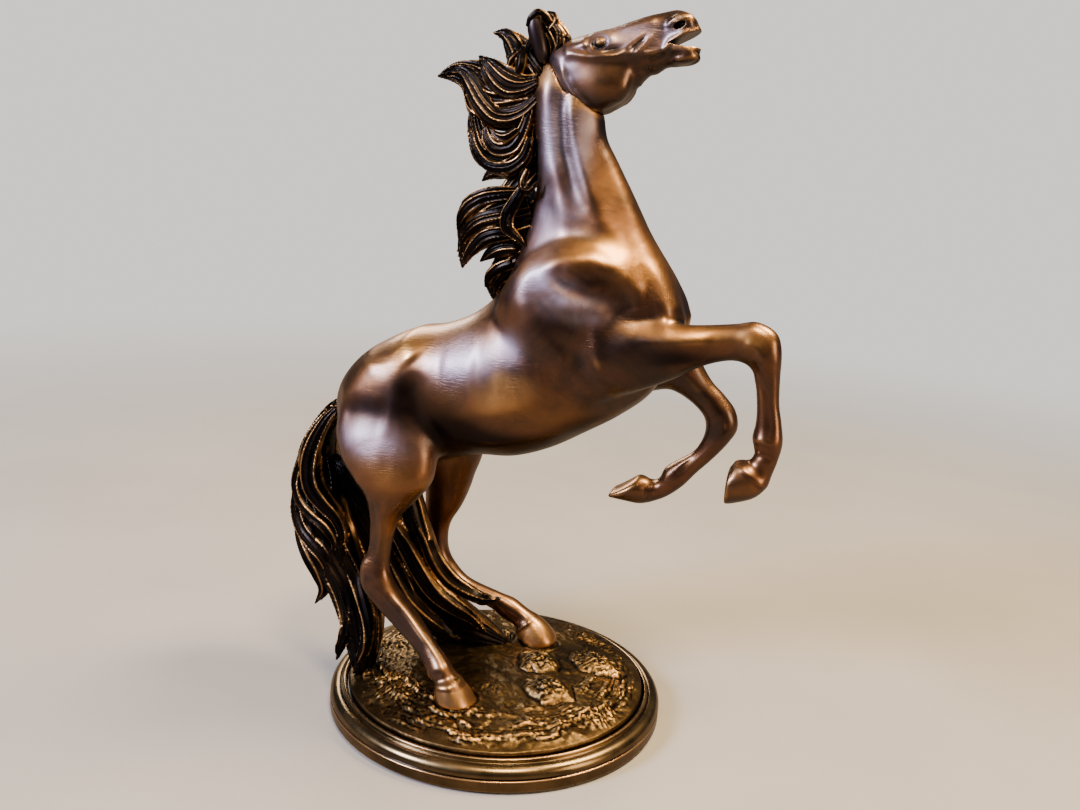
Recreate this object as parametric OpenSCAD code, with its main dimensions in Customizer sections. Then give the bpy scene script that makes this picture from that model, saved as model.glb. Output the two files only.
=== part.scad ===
// Rearing horse statuette on a round plinth.
// Castings are lofted through chords. A chord lies across a limb or the trunk and is written
// [x1, z1, x2, z2, y, half width, skew]: two outline points in the side view, the middle
// plane, half of the thickness, and how far the widest place leans towards the first point.
// X points where the horse faces, Z is up, and the origin is the centre of the felt's underside.

/* [Plinth] */
// Diameter of the plinth's vertical band
plinth_d = 160; // [158:1:164]
// Height of the vertical band above the felt
band_h = 6.2; // [5.5:0.1:7]
// Thickness of the felt pad
felt_t = 1; // [0.8:0.1:1.5]
// Thickness of the web that the nuts pull against
web_t = 4; // [3.5:0.1:4.5]

/* [Ground] */
// Diameter of the modelled ground
ground_d = 142; // [140:1:143]
// Height of the ground's dome above its rim
dome_h = 9; // [8.6:0.1:9.4]

/* [Castings] */
// Wall of the hollow body casting
wall = 4; // [3:0.1:5]
// Depth of the spigot that plugs the neck into the body
spigot_h = 8; // [6:1:10]

/* [Fixings] */
// Diameter of the studs under the hind hooves
stud_d = 4; // [3:0.5:5]
// Diameter of the dowels inside the legs
dowel_d = 5; // [4:0.5:6]
// Diameter of the pins in the neck, the mane and the tail
pin_d = 2; // [1.5:0.5:2.5]
// Diameter of the screws that hold the ground down
screw_d = 3; // [2:0.5:4]

/* [Hidden] */

bronze = [0.42, 0.24, 0.14];
dark_bronze = [0.12, 0.08, 0.06];
earth_bronze = [0.30, 0.24, 0.16];
brass = [0.75, 0.60, 0.30];
felt = [0.10, 0.22, 0.14];

$fn = 48;
plinth_r = plinth_d / 2;
ground_r = ground_d / 2;
web_z = felt_t + band_h;
seat_z = web_z + web_t;
ledge_z = seat_z + 1.8;
cavity_r = plinth_r - 14;
rim_z = seat_z + 3;
washer_t = 0.8;
nut_h = 3;
nut_af = 7;
screw_head_h = 2;
// Rounded edge of the plinth, the flat shelf inside it, and the bead round the ground.
edge_r = 4.3;
shelf_w = 4.7;
bead_w = 1.6;
bead_inset = 4.1;
// Ripples of the ground: [waves round, turn, degrees per millimetre outwards, height].
RIPPLES = [[5, 40, 5, 0.5], [9, 0, 8, 0.4]];
// Rocks: [x, y, radius], sunk into the ground and flattened.
ROCKS = [[18, 1, 7], [32, -21, 7.5], [48, 17, 9]];
rock_sink = 1;
rock_shape = [1.2, 0.9, 0.6];

// Trunk from the rump to the poll: back first, belly and throat second.
TRUNK = [
    [-88, 141, -84, 129, 0, 6, 0],
    [-83, 154, -75, 117, 0, 18, 0],
    [-74, 165, -61, 113, 0, 24, 0.1],
    [-62, 173.5, -46, 115, 0, 26.5, 0.1],
    [-48, 180, -30, 120, 0, 27, 0.05],
    [-33, 184, -12, 124.5, 0, 27.5, -0.05],
    [-20, 190, 5, 126.5, 0, 29.5, -0.1],
    [-11, 197.5, 21, 132.5, 0, 30, -0.1],
    [-5, 206, 37, 142, 0, 29, -0.1],
    [-1, 216, 51.5, 151.5, 0, 27, -0.1],
    [2, 226, 64, 163, 0, 25, -0.1],
    [4, 234, 72, 180, 0, 23.5, -0.15],
    [4.5, 240, 75, 196, 0, 22, -0.2],
    [5, 244, 71, 210, 0, 20, -0.2],
    [5.5, 247, 64, 221, 0, 18, -0.15],
    [5.5, 252, 56, 233, 0, 16, -0.1],
    [5, 258, 48, 247, 0, 14.5, 0],
    [4, 265, 41, 259, 0, 13, 0],
    [2.5, 273, 35.5, 269, 0, 12.3, 0],
    [1, 282, 33, 278, 0, 11.8, 0],
    [1, 291, 30, 288, 0, 11, 0],
    [5, 299, 26, 297, 0, 8, 0]
];
neck_cut = shift(TRUNK[14], 1);

// Head from the poll to the lips: forehead first, jaw second.
HEAD = [
    [5, 303, 12, 293, 0, 5, 0],
    [11, 306.5, 17, 283, 0, 10.5, 0],
    [19, 309.5, 25, 279.5, 0, 12.5, 0],
    [27, 312, 34, 279.5, 0, 12.8, 0.1],
    [34, 314, 41, 284, 0, 11.8, 0.1],
    [41, 316.4, 46.5, 290, 0, 9.6, 0],
    [48, 318.8, 52, 295, 0, 8, 0],
    [55, 320.6, 57.5, 299, 0, 7, 0],
    [61, 321.6, 62, 299.5, 0, 7.2, 0],
    [66.5, 319.5, 66.5, 301, 0, 7, 0],
    [70.4, 314.5, 70, 304.5, 0, 5, 0],
    [71.2, 312, 70.8, 306.5, 0, 2, 0]
];
MOUTH = [[58, 308], [64, 310.5], [74, 315], [75, 306.5], [64, 307]];

// Near foreleg from the shoulder to the coronet: front outline first.
RIGHT_FORELEG = [
    [28, 206, 22, 160, -15, 5, 0],
    [41, 202, 36, 156, -17, 10, 0],
    [54, 197, 49, 162, -18, 10.5, 0],
    [66, 196.5, 60, 166, -18, 9, 0],
    [78, 196.5, 74, 172.5, -18, 7.8, 0],
    [89, 197.5, 87, 180, -17, 6.6, 0],
    [99, 199, 97.5, 183.5, -17, 6, 0],
    [107, 200.5, 104, 183, -17, 6.4, 0],
    [115, 197, 107.5, 180, -17, 6.6, 0],
    [118, 190, 108.5, 177, -17, 6, 0],
    [118.7, 179, 109.6, 173, -17, 4.8, 0],
    [119.6, 168, 110.8, 165, -17, 4.2, 0],
    [121.4, 160, 111, 158.5, -17, 4.5, 0],
    [122.8, 152, 110.4, 153, -17, 5.6, 0],
    [122, 145, 111.6, 147, -17, 4.8, 0],
    [120.2, 138, 110.5, 143, -17, 5, 0],
    [118.5, 132, 106, 142, -17, 6.8, 0],
    [114, 127, 104.2, 141.2, -17, 8.2, 0],
    [107, 124, 103.6, 140, -17, 8.8, 0],
    [101.8, 122.6, 102.8, 138.5, -17, 8.8, 0]
];

// Far foreleg, folded further under the chest.
LEFT_FORELEG = [
    [40, 205, 26, 158, 14, 5, 0],
    [58, 201, 42, 156, 16, 10, 0],
    [70, 193, 53, 158, 17, 10, 0],
    [77, 184, 62, 160, 18, 8.6, 0],
    [83, 174, 69, 161.5, 18, 7.4, 0],
    [88, 167, 76, 159, 18, 6.4, 0],
    [94, 161.5, 82, 155, 18, 6.2, 0],
    [99.5, 155, 86, 150.5, 18, 6.6, 0],
    [101.2, 147, 87, 145, 18, 6.2, 0],
    [97.5, 139.5, 85.5, 139, 18, 5, 0],
    [91.5, 131.5, 82, 133.5, 18, 4.4, 0],
    [85, 124, 76, 129, 18, 4.4, 0],
    [79, 116.5, 70.5, 124.5, 18, 5.4, 0],
    [72, 110.5, 68, 119, 18, 5, 0],
    [65, 107, 64.5, 117.5, 18, 5.4, 0],
    [60, 105.6, 61, 118.6, 18, 7.4, 0],
    [54, 106, 58, 118.6, 18, 8.6, 0],
    [49, 106.6, 54, 115.5, 18, 8.6, 0],
    [44.6, 107.4, 47, 110.5, 18, 7.6, 0]
];
foreleg_cuts = [shift(RIGHT_FORELEG[5], 1), shift(LEFT_FORELEG[5], 1)];

// Near hind leg from the hip to the sole: front outline first.
RIGHT_HIND_LEG = [
    [-38, 165, -66, 160, -10, 10, 0],
    [-33, 148, -74, 150, -16, 12, 0],
    [-30, 134, -78.5, 134, -19, 13.5, 0],
    [-28.5, 123, -75, 122, -21, 13.5, 0],
    [-29.5, 113, -68, 112, -23, 12.5, 0],
    [-35, 105, -61, 104, -24, 9.6, 0],
    [-43, 95.5, -58, 95, -25, 6.6, 0],
    [-46, 86, -57.2, 86, -26, 5.2, 0],
    [-46.8, 77, -57.6, 77.5, -27, 4.8, 0],
    [-46.4, 69.5, -60.4, 69, -28, 5.4, 0],
    [-43.5, 64, -59, 60.5, -29, 6, 0],
    [-38.5, 58.5, -51.5, 52.5, -30, 5.6, 0],
    [-31, 52.5, -41.5, 45.5, -32, 4.8, 0],
    [-21, 44.5, -28.5, 37.5, -36, 4.4, 0],
    [-14.5, 39.5, -21.5, 32, -39, 4.8, 0],
    [-10, 36, -19, 28.5, -41, 5.8, 0],
    [-6.5, 32, -15.5, 27.5, -42, 5.2, 0],
    [-2.5, 29, -14.5, 27.5, -43, 7, 0],
    [1.5, 25, -14.5, 24, -43.5, 8.4, 0],
    [4.8, 20.5, -14, 20, -44, 9.4, 0]
];

// Far hind leg, set further forward.
LEFT_HIND_LEG = [
    [-32, 160, -62, 158, 10, 10, 0],
    [-24, 143, -68, 146, 15, 12, 0],
    [-20, 127, -68, 130, 18, 13, 0],
    [-21, 116, -62, 116, 20, 12.5, 0],
    [-24.5, 106, -54, 104, 21, 9.6, 0],
    [-27, 98, -50.5, 96, 22, 8, 0],
    [-31, 88, -50, 86, 22, 6.2, 0],
    [-36, 79, -50.5, 77, 22, 5.2, 0],
    [-37.5, 71, -52, 68, 22, 5.4, 0],
    [-36.5, 63, -50, 57, 22, 6, 0],
    [-32.5, 56.5, -42, 49, 22, 5.6, 0],
    [-24.5, 50, -29, 42.5, 22, 4.8, 0],
    [-8.5, 45, -12.5, 36.5, 23, 4.4, 0],
    [-1, 42.5, -6, 32, 24, 5.6, 0],
    [6, 38.5, 0, 29.5, 24, 5.2, 0],
    [11, 36, 1.5, 27, 24, 6.4, 0],
    [16.5, 32.5, 3, 24, 24, 8, 0],
    [22, 26.5, 5, 22.6, 24, 9, 0],
    [23, 23, 5, 22, 24, 9, 0]
];
hind_leg_cuts = [shift(RIGHT_HIND_LEG[5], 1), shift(LEFT_HIND_LEG[5], 1)];

// Muscles that stand out of the trunk, on the right side.
CHEST_MUSCLE = [
    [46, 214, 40, 188, -7, 5, 0],
    [56, 217, 50, 182, -8, 9, 0],
    [66, 212, 60, 178, -9, 10, 0],
    [73, 205, 68, 180, -9.5, 9, 0],
    [76.6, 197, 74.6, 188, -9, 4.5, 0]
];
SHOULDER_MUSCLE = [
    [0, 208, -4, 192, -16, 7, 0],
    [10, 222, 5, 180, -17, 12, 0],
    [26, 231, 20, 170, -17, 13.5, 0],
    [42, 227, 36, 172, -16, 12, 0],
    [54, 214, 50, 186, -12, 7, 0]
];

// Ears, forelock, mane and tail.
EAR = [
    [1, 301, 12.5, 300, -6.5, 3.4, 0],
    [-0.6, 307, 11, 306, -7.2, 3.6, 0],
    [-1.2, 312, 8.8, 312, -7.8, 3, 0],
    [-0.4, 316.5, 6, 317, -8, 2, 0],
    [1.6, 319.6, 3.4, 319.8, -8, 0.6, 0]
];
EAR_HOLLOW = [
    [3, 303, 8.5, 303, -11.5, 2.2, 0],
    [1.4, 307, 8.5, 307, -11.4, 2.6, 0],
    [1.2, 312, 6.4, 312, -11, 2.2, 0],
    [2, 316, 3.6, 316, -10.2, 0.8, 0]
];
FORELOCK = [
    [0, 302, 6, 300, 0, 3, 0],
    [3, 311, 11, 302, 1, 4.6, 0],
    [8, 315.5, 15, 305, 2, 4.6, 0],
    [13, 311, 18, 306, 2, 3.4, 0],
    [18, 307.6, 20, 306.6, 1, 1.4, 0]
];
CREST_CURL = [
    [-6, 292, 5, 296, -1, 4, 0],
    [-9, 298, 0, 303, -2, 4, 0],
    [-11, 305, -4, 309, -3, 3.4, 0],
    [-15, 308, -10, 312.5, -3, 2.8, 0],
    [-17.4, 309, -16, 311, -3, 1, 0]
];
CREST_LOCK = [
    [6, 303, 7, 276, 0, 6, 0],
    [-2, 299, -4, 273, -1, 7.5, 0],
    [-12, 298, -14, 274, -2, 7.5, 0],
    [-21, 300.6, -22, 278, -2, 6.5, 0],
    [-30, 301, -29, 285.5, -2, 5, 0],
    [-38, 299, -37, 288.5, -1, 3.4, 0],
    [-44, 293, -43.4, 291.4, 0, 0.8, 0]
];
UPPER_LOCK = [
    [6, 282, 8, 258, 2, 6, 0],
    [-4, 276, -4, 254, 1, 7.5, 0],
    [-14, 272, -13, 250.4, 0, 7.5, 0],
    [-19, 274, -23.5, 251.5, -1, 6.5, 0],
    [-21, 278, -29.5, 263, -1, 5, 0],
    [-24, 282, -30.5, 275, -1, 3.2, 0],
    [-27.6, 285.4, -29, 285, -1, 0.8, 0]
];
MIDDLE_LOCK = [
    [7, 258, 7, 226, -1, 6, 0],
    [-4, 250, -3, 222, -2, 7.5, 0],
    [-13, 246, -11, 219, -3, 7.5, 0],
    [-23, 239, -18, 215, -3, 6.5, 0],
    [-29.5, 228, -21, 213, -2, 5, 0],
    [-30, 219, -23, 211.5, -2, 3.2, 0],
    [-28.4, 210.6, -27, 210, -2, 0.8, 0]
];
LOWER_LOCK = [
    [7, 232, 5, 206, 1, 5, 0],
    [-5, 222, -3, 203, 0, 5.5, 0],
    [-11, 213, -6, 202, -1, 4.4, 0],
    [-15, 206, -10, 199, -1, 3, 0],
    [-12, 196.6, -10.6, 197, -1, 0.8, 0]
];
TAIL = [
    [-83, 146, -80, 138, 0, 4, 0],
    [-92, 140, -86, 130, 0, 6, 0],
    [-100, 129.5, -88, 121, 0, 8, 0],
    [-106, 118, -87, 111, -1, 10, 0],
    [-109, 104, -83, 98, -2, 12, 0],
    [-108, 90, -78, 85, -4, 13.5, 0],
    [-104, 77, -73, 73, -6, 14, 0],
    [-97, 66, -67, 63, -8, 14, 0],
    [-87, 56, -61, 53, -11, 13, 0],
    [-80, 44, -56, 41, -15, 12, 0],
    [-73, 34, -51, 30, -20, 11, 0],
    [-67, 24, -51, 20, -26, 8, 0],
    [-62, 16, -54, 14.5, -30, 4, 0]
];
TAIL_CURL = [
    [-96, 68, -80, 70, -9, 5, 0],
    [-93, 56, -82, 60, -11, 5, 0],
    [-89, 47, -82, 48, -12, 3.6, 0],
    [-90, 41, -86.5, 40, -12, 2, 0],
    [-92.6, 37.2, -92, 36.8, -12, 0.6, 0]
];
TAIL_INNER = [
    [-82, 112, -92, 104, -1, 5, 0],
    [-66, 98, -84, 84, 1, 8, 0],
    [-52, 80, -74, 65, 3, 9, 0],
    [-40, 65, -63, 49, 4, 10, 0],
    [-27, 51, -52, 34, 5, 10.5, 0],
    [-14, 40.5, -37, 24, 7, 9.5, 0],
    [-3, 32, -20, 20, 10, 7, 0],
    [4, 25, -4, 20, 13, 3, 0]
];

// Places of the fixings.
hoof_stud_xy = [[-5, -43.5], [12, 24]];
hoof_stud_top = [31, 33];
hind_dowel_xy = [[-49, -24.5], [-39, 21.5]];
hind_dowel_z = [104.5, 97];
dowel_l = 22;
foreleg_dowel_l = 16;
neck_pins_at = [[20, 237, 8, 14], [44, 226.5, 9, 16.5]];
mane_pin_xz = [[2, 287], [2, 267], [3, 241], [2, 214]];
mane_pin_l = 12;
tail_pin_z = 136.5;
tail_pin_x = [-91, -75];
head_dowel_x = 16;
head_dowel_z = [274, 298];
screw_ring_r = 56;
screw_angles = [100, 205, 330];
screw_l = 10;
ear_peg_at = [10.5, 6, 297];
ear_peg_l = 6;

// Catmull-Rom curve through whole chords.
function curve(a, b, c, d, t) =
    0.5 * (2 * b + (c - a) * t + (2 * a - 5 * b + 4 * c - d) * t * t
        + (3 * b - a - 3 * c + d) * t * t * t);
function refine(chords, steps) = let (last = len(chords) - 1) [
    for (i = [0:last - 1], j = [0:steps - 1])
        curve(chords[max(i - 1, 0)], chords[i], chords[i + 1], chords[min(i + 2, last)], j / steps),
    chords[last]
];
function middle(c) = [(c[0] + c[2]) / 2, c[4], (c[1] + c[3]) / 2];
function ring(c, sides) = [
    for (i = [0:sides - 1]) let (a = 360 * i / sides, u = sin(a))
        [(c[0] + c[2] + (c[0] - c[2]) * u) / 2,
         c[4] + c[5] * cos(a) * (1 + c[6] * u),
         (c[1] + c[3] + (c[1] - c[3]) * u) / 2]
];
// Positive where the first outline point lies on the left of the way that the chords run.
function hand(a, b) =
    let (way = middle(b) - middle(a))
    way[0] * (a[1] - a[3]) - way[2] * (a[0] - a[2]);
// Unit vector along a chord, in the side view.
function along(c) = [c[0] - c[2], c[1] - c[3]] / norm([c[0] - c[2], c[1] - c[3]]);
// A chord drawn in by a wall thickness.
function shrink(c, t) =
    let (u = t * along(c))
    [c[0] - u[0], c[1] - u[1], c[2] + u[0], c[3] + u[1], c[4], c[5] - t, c[6]];
// A chord moved along its own normal in the side view.
function shift(c, t) =
    let (u = t * along(c))
    [c[0] + u[1], c[1] - u[0], c[2] + u[1], c[3] - u[0], c[4], c[5], c[6]];
function mirrored(chords) = [for (c = chords) [c[0], c[1], c[2], c[3], -c[4], c[5], c[6]]];

module loft(chords, sides = 20, steps = 2) {
    f = refine(chords, steps);
    n = len(f);
    points = concat([for (c = f) each ring(c, sides)], [middle(f[0]), middle(f[n - 1])]);
    quads = [
        for (i = [0:n - 2], j = [0:sides - 1]) let (k = (j + 1) % sides)
            each [[i * sides + j, (i + 1) * sides + j, (i + 1) * sides + k],
                  [i * sides + j, (i + 1) * sides + k, i * sides + k]]
    ];
    caps = [
        for (j = [0:sides - 1]) let (k = (j + 1) % sides)
            each [[n * sides, j, k], [n * sides + 1, (n - 1) * sides + k, (n - 1) * sides + j]]
    ];
    outward = [for (t = concat(quads, caps)) hand(f[0], f[1]) > 0 ? t : [t[2], t[1], t[0]]];
    polyhedron(points, outward);
}

// Places children at the middle of a chord, with the limb running along -Z.
module at_chord(chord) {
    angle = atan2(chord[1] - chord[3], chord[0] - chord[2]);
    translate(middle(chord)) rotate([0, -angle, 0]) children();
}

// Half space past a chord, on the side that the chords run to.
module beyond(chord, reach = 200) {
    at_chord(chord) translate([-reach, -reach, -reach]) cube([2 * reach, 2 * reach, reach]);
}

// Gathers lofts that are cast in one piece, so that they become one skin.
module as_cast() {
    resize([0, 0, 0]) union() children();
}

module trunk() {
    loft(TRUNK, 28);
}
module head() {
    difference() {
        loft(HEAD, 24);
        rotate([90, 0, 0]) linear_extrude(30, center = true) polygon(MOUTH);
    }
}

// Solid ground between the seat and the modelled top, with three rocks.
function ripple(w, r, a) = w[3] * sin(w[0] * a + w[1]) * sin(w[2] * r);
function ground_h(r, a) =
    rim_z + dome_h * (1 - pow(r / ground_r, 2.5)) + ripple(RIPPLES[0], r, a) + ripple(RIPPLES[1], r, a);
module ground() {
    sides = 48;
    rings = 10;
    first = sides * rings;
    points = concat(
        [for (i = [1:rings], j = [0:sides - 1]) let (r = ground_r * i / rings, a = 360 * j / sides)
            [r * cos(a), r * sin(a), ground_h(r, a)]],
        [for (j = [0:sides - 1]) let (a = 360 * j / sides)
            [ground_r * cos(a), ground_r * sin(a), seat_z]],
        [[0, 0, ground_h(0, 0)], [0, 0, seat_z]]);
    faces = concat(
        [for (i = [0:rings - 1], j = [0:sides - 1]) let (k = (j + 1) % sides)
            each [[i * sides + j, (i + 1) * sides + k, (i + 1) * sides + j],
                  [i * sides + j, i * sides + k, (i + 1) * sides + k]]],
        [for (j = [0:sides - 1]) let (k = (j + 1) % sides)
            each [[first + sides, k, j], [first + sides + 1, first + j, first + k]]]);
    polyhedron(points, faces);
    for (rock = ROCKS)
        translate([rock[0], rock[1], ground_h(norm([rock[0], rock[1]]), 0) - rock_sink])
            scale(rock_shape) sphere(rock[2], $fn = 18);
}

// Bores and what goes into them.
module hoof_stud_rods() {
    bottom = web_z - nut_h - washer_t - 1;
    for (i = [0, 1])
        translate([hoof_stud_xy[i][0], hoof_stud_xy[i][1], bottom])
            cylinder(d = stud_d, h = hoof_stud_top[i] - bottom);
}
module hind_dowel_rods() {
    for (i = [0, 1])
        translate([hind_dowel_xy[i][0], hind_dowel_xy[i][1], hind_dowel_z[i] - dowel_l / 2])
            cylinder(d = dowel_d, h = dowel_l);
}
module foreleg_dowel_rods() {
    for (cut = foreleg_cuts)
        at_chord(cut) cylinder(d = dowel_d, h = foreleg_dowel_l, center = true);
}
module neck_pin_rods() {
    for (p = neck_pins_at, side = [-1, 1])
        translate([p[0], side * p[2], p[1]])
            rotate([-90 * side, 0, 0]) cylinder(d = pin_d, h = p[3] - p[2]);
}
module mane_pin_rods() {
    for (p = mane_pin_xz)
        translate([p[0] - mane_pin_l / 2, 0, p[1]])
            rotate([0, 90, 0]) cylinder(d = pin_d, h = mane_pin_l);
}
module tail_pin_rod() {
    translate([tail_pin_x[0], 0, tail_pin_z])
        rotate([0, 90, 0]) cylinder(d = 2 * pin_d, h = tail_pin_x[1] - tail_pin_x[0]);
}
module head_dowel_rod() {
    translate([head_dowel_x, 0, head_dowel_z[0]])
        cylinder(d = dowel_d, h = head_dowel_z[1] - head_dowel_z[0]);
}
module screw_shanks() {
    for (a = screw_angles)
        rotate(a) translate([screw_ring_r, 0, web_z]) cylinder(d = screw_d, h = screw_l);
}

module plinth() {
    color(bronze) difference() {
        rotate_extrude($fn = 96) {
            translate([cavity_r, felt_t]) square([plinth_r - cavity_r, band_h]);
            translate([plinth_r - edge_r, web_z]) circle(edge_r, $fn = 48);
            translate([0, web_z]) square([plinth_r - edge_r, web_t]);
            translate([plinth_r - edge_r - shelf_w, web_z]) square([shelf_w, edge_r]);
            translate([plinth_r - edge_r - bead_inset, web_z]) square([bead_w, ledge_z - web_z]);
        }
        hoof_stud_rods();
        screw_shanks();
    }
}
module felt_pad() {
    color(felt) cylinder(r = plinth_r - 1.5, h = felt_t, $fn = 96);
}
module ground_casting() {
    color(earth_bronze) difference() {
        as_cast() ground();
        hoof_stud_rods();
        screw_shanks();
    }
}
// Upper end of a limb, cast with the body.
module limb_root(chords, cut) {
    difference() {
        loft(chords);
        beyond(cut);
    }
}
module torso_casting() {
    color(bronze) difference() {
        as_cast() difference() {
            union() {
                difference() {
                    trunk();
                    beyond(neck_cut);
                }
                for (m = [CHEST_MUSCLE, SHOULDER_MUSCLE]) {
                    loft(m, 16);
                    loft(mirrored(m), 16);
                }
                limb_root(RIGHT_FORELEG, foreleg_cuts[0]);
                limb_root(LEFT_FORELEG, foreleg_cuts[1]);
                limb_root(RIGHT_HIND_LEG, hind_leg_cuts[0]);
                limb_root(LEFT_HIND_LEG, hind_leg_cuts[1]);
            }
            body_cavity();
        }
        hind_dowel_rods();
        foreleg_dowel_rods();
        neck_pin_rods();
        mane_pin_rods();
        tail_pin_rod();
    }
}
// Inside of the hollow body, open at the neck.
module body_cavity() {
    loft([for (i = [2:15]) shrink(TRUNK[i], wall)], 20);
}
module neck_casting() {
    color(bronze) difference() {
        as_cast() difference() {
            union() {
                intersection() {
                    trunk();
                    beyond(neck_cut);
                }
                intersection() {
                    body_cavity();
                    beyond(shift(neck_cut, -spigot_h));
                }
            }
            head();
        }
        neck_pin_rods();
        head_dowel_rod();
        mane_pin_rods();
    }
}
module head_casting() {
    color(bronze) difference() {
        as_cast() head();
        head_dowel_rod();
        for (side = [-1, 1]) ear_peg(side);
    }
}
module ear_peg(side) {
    translate([ear_peg_at[0], side * ear_peg_at[1], ear_peg_at[2]])
        cylinder(d = pin_d, h = ear_peg_l);
}
module ear(side) {
    color(bronze) union() {
        as_cast() difference() {
            loft(side > 0 ? mirrored(EAR) : EAR, 12);
            loft(side > 0 ? mirrored(EAR_HOLLOW) : EAR_HOLLOW, 12);
            head();
            trunk();
        }
        ear_peg(side);
    }
}
module right_ear() {
    ear(-1);
}
module left_ear() {
    ear(1);
}
module forelock() {
    color(dark_bronze) as_cast() difference() {
        loft(FORELOCK, 12);
        head();
        for (e = [EAR, mirrored(EAR)]) loft(e, 12);
    }
}
module mane_lock(chords, lower = []) {
    color(dark_bronze) difference() {
        as_cast() difference() {
            union() {
                loft(chords, 16);
                children();
            }
            trunk();
            head();
            for (e = [EAR, mirrored(EAR), FORELOCK]) loft(e, 12);
            for (l = lower) loft(l, 16);
        }
        mane_pin_rods();
    }
}
module mane_crest_lock() {
    mane_lock(CREST_LOCK) loft(CREST_CURL, 12);
}
module mane_upper_lock() {
    mane_lock(UPPER_LOCK, [CREST_LOCK]);
}
module mane_middle_lock() {
    mane_lock(MIDDLE_LOCK, [UPPER_LOCK]);
}
module mane_lower_lock() {
    mane_lock(LOWER_LOCK, [MIDDLE_LOCK]);
}
module foreleg(chords, cut) {
    color(bronze) difference() {
        as_cast() intersection() {
            loft(chords);
            beyond(cut);
        }
        foreleg_dowel_rods();
    }
}
module right_foreleg() {
    foreleg(RIGHT_FORELEG, foreleg_cuts[0]);
}
module left_foreleg() {
    foreleg(LEFT_FORELEG, foreleg_cuts[1]);
}
module hind_leg(chords, cut) {
    color(bronze) difference() {
        as_cast() difference() {
            intersection() {
                loft(chords);
                beyond(cut);
            }
            ground();
        }
        hind_dowel_rods();
        hoof_stud_rods();
    }
}
module right_hind_leg() {
    hind_leg(RIGHT_HIND_LEG, hind_leg_cuts[0]);
}
module left_hind_leg() {
    hind_leg(LEFT_HIND_LEG, hind_leg_cuts[1]);
}
module tail_casting() {
    color(dark_bronze) difference() {
        as_cast() difference() {
            union() {
                loft(TAIL, 24);
                loft(TAIL_CURL, 12);
            }
            trunk();
            for (l = [RIGHT_HIND_LEG, LEFT_HIND_LEG]) loft(l);
            ground();
        }
        tail_pin_rod();
    }
}
module tail_inner_lock() {
    color(dark_bronze) as_cast() difference() {
        loft(TAIL_INNER, 20);
        loft(TAIL, 24);
        for (l = [RIGHT_HIND_LEG, LEFT_HIND_LEG]) loft(l);
        ground();
    }
}
module foreleg_dowels() {
    color(brass) foreleg_dowel_rods();
}
module hind_leg_dowels() {
    color(brass) hind_dowel_rods();
}
module neck_pins() {
    color(brass) neck_pin_rods();
}
module head_dowel() {
    color(brass) head_dowel_rod();
}
module mane_pins() {
    color(brass) mane_pin_rods();
}
module tail_pin() {
    color(brass) tail_pin_rod();
}
module hoof_studs() {
    color(brass) hoof_stud_rods();
}
module stud_nuts() {
    color(brass) difference() {
        for (p = hoof_stud_xy)
            translate([p[0], p[1], web_z - washer_t - nut_h])
                cylinder(d = nut_af / cos(30), h = nut_h, $fn = 6);
        hoof_stud_rods();
    }
}
module stud_washers() {
    color(brass) difference() {
        for (p = hoof_stud_xy)
            translate([p[0], p[1], web_z - washer_t]) cylinder(d = 2.2 * stud_d, h = washer_t);
        hoof_stud_rods();
    }
}
module base_screws() {
    color(brass) {
        screw_shanks();
        for (a = screw_angles)
            rotate(a) translate([screw_ring_r, 0, web_z - screw_head_h])
                cylinder(d = 2 * screw_d, h = screw_head_h);
    }
}

plinth();
felt_pad();
ground_casting();
torso_casting();
neck_casting();
head_casting();
right_ear();
left_ear();
forelock();
mane_crest_lock();
mane_upper_lock();
mane_middle_lock();
mane_lower_lock();
right_foreleg();
left_foreleg();
right_hind_leg();
left_hind_leg();
tail_casting();
tail_inner_lock();
foreleg_dowels();
hind_leg_dowels();
neck_pins();
head_dowel();
mane_pins();
tail_pin();
hoof_studs();
stud_nuts();
stud_washers();
base_screws();
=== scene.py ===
"""Looks of a rearing horse statuette in patinated bronze.

Every table is in millimetres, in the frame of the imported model. A body, limb or lock is a loft through
chords, and its skin is found on a regular grid, so that muscles, veins and strands are real shape."""

import math

import bmesh
import bpy
import numpy as np
from mathutils import Matrix, Vector


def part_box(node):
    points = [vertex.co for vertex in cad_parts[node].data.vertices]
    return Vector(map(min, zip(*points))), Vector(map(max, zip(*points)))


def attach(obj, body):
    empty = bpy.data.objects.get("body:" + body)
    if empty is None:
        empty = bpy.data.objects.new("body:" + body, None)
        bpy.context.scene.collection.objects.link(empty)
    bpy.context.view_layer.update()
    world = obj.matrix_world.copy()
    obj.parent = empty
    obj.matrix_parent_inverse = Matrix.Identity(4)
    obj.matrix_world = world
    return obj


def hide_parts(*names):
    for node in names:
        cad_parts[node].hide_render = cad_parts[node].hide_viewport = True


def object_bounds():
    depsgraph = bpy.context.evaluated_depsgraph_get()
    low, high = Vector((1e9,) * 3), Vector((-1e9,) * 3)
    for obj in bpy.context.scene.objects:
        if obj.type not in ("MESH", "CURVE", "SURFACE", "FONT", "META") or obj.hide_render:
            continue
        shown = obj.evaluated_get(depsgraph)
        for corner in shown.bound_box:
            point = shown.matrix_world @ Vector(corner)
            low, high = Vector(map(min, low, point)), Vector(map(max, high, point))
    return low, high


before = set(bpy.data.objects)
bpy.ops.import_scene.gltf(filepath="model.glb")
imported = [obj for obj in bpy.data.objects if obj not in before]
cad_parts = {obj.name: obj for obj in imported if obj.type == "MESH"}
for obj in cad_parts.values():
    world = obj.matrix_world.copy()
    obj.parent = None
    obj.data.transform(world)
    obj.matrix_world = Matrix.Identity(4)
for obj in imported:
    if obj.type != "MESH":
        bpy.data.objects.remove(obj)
cad_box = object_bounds()

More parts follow.
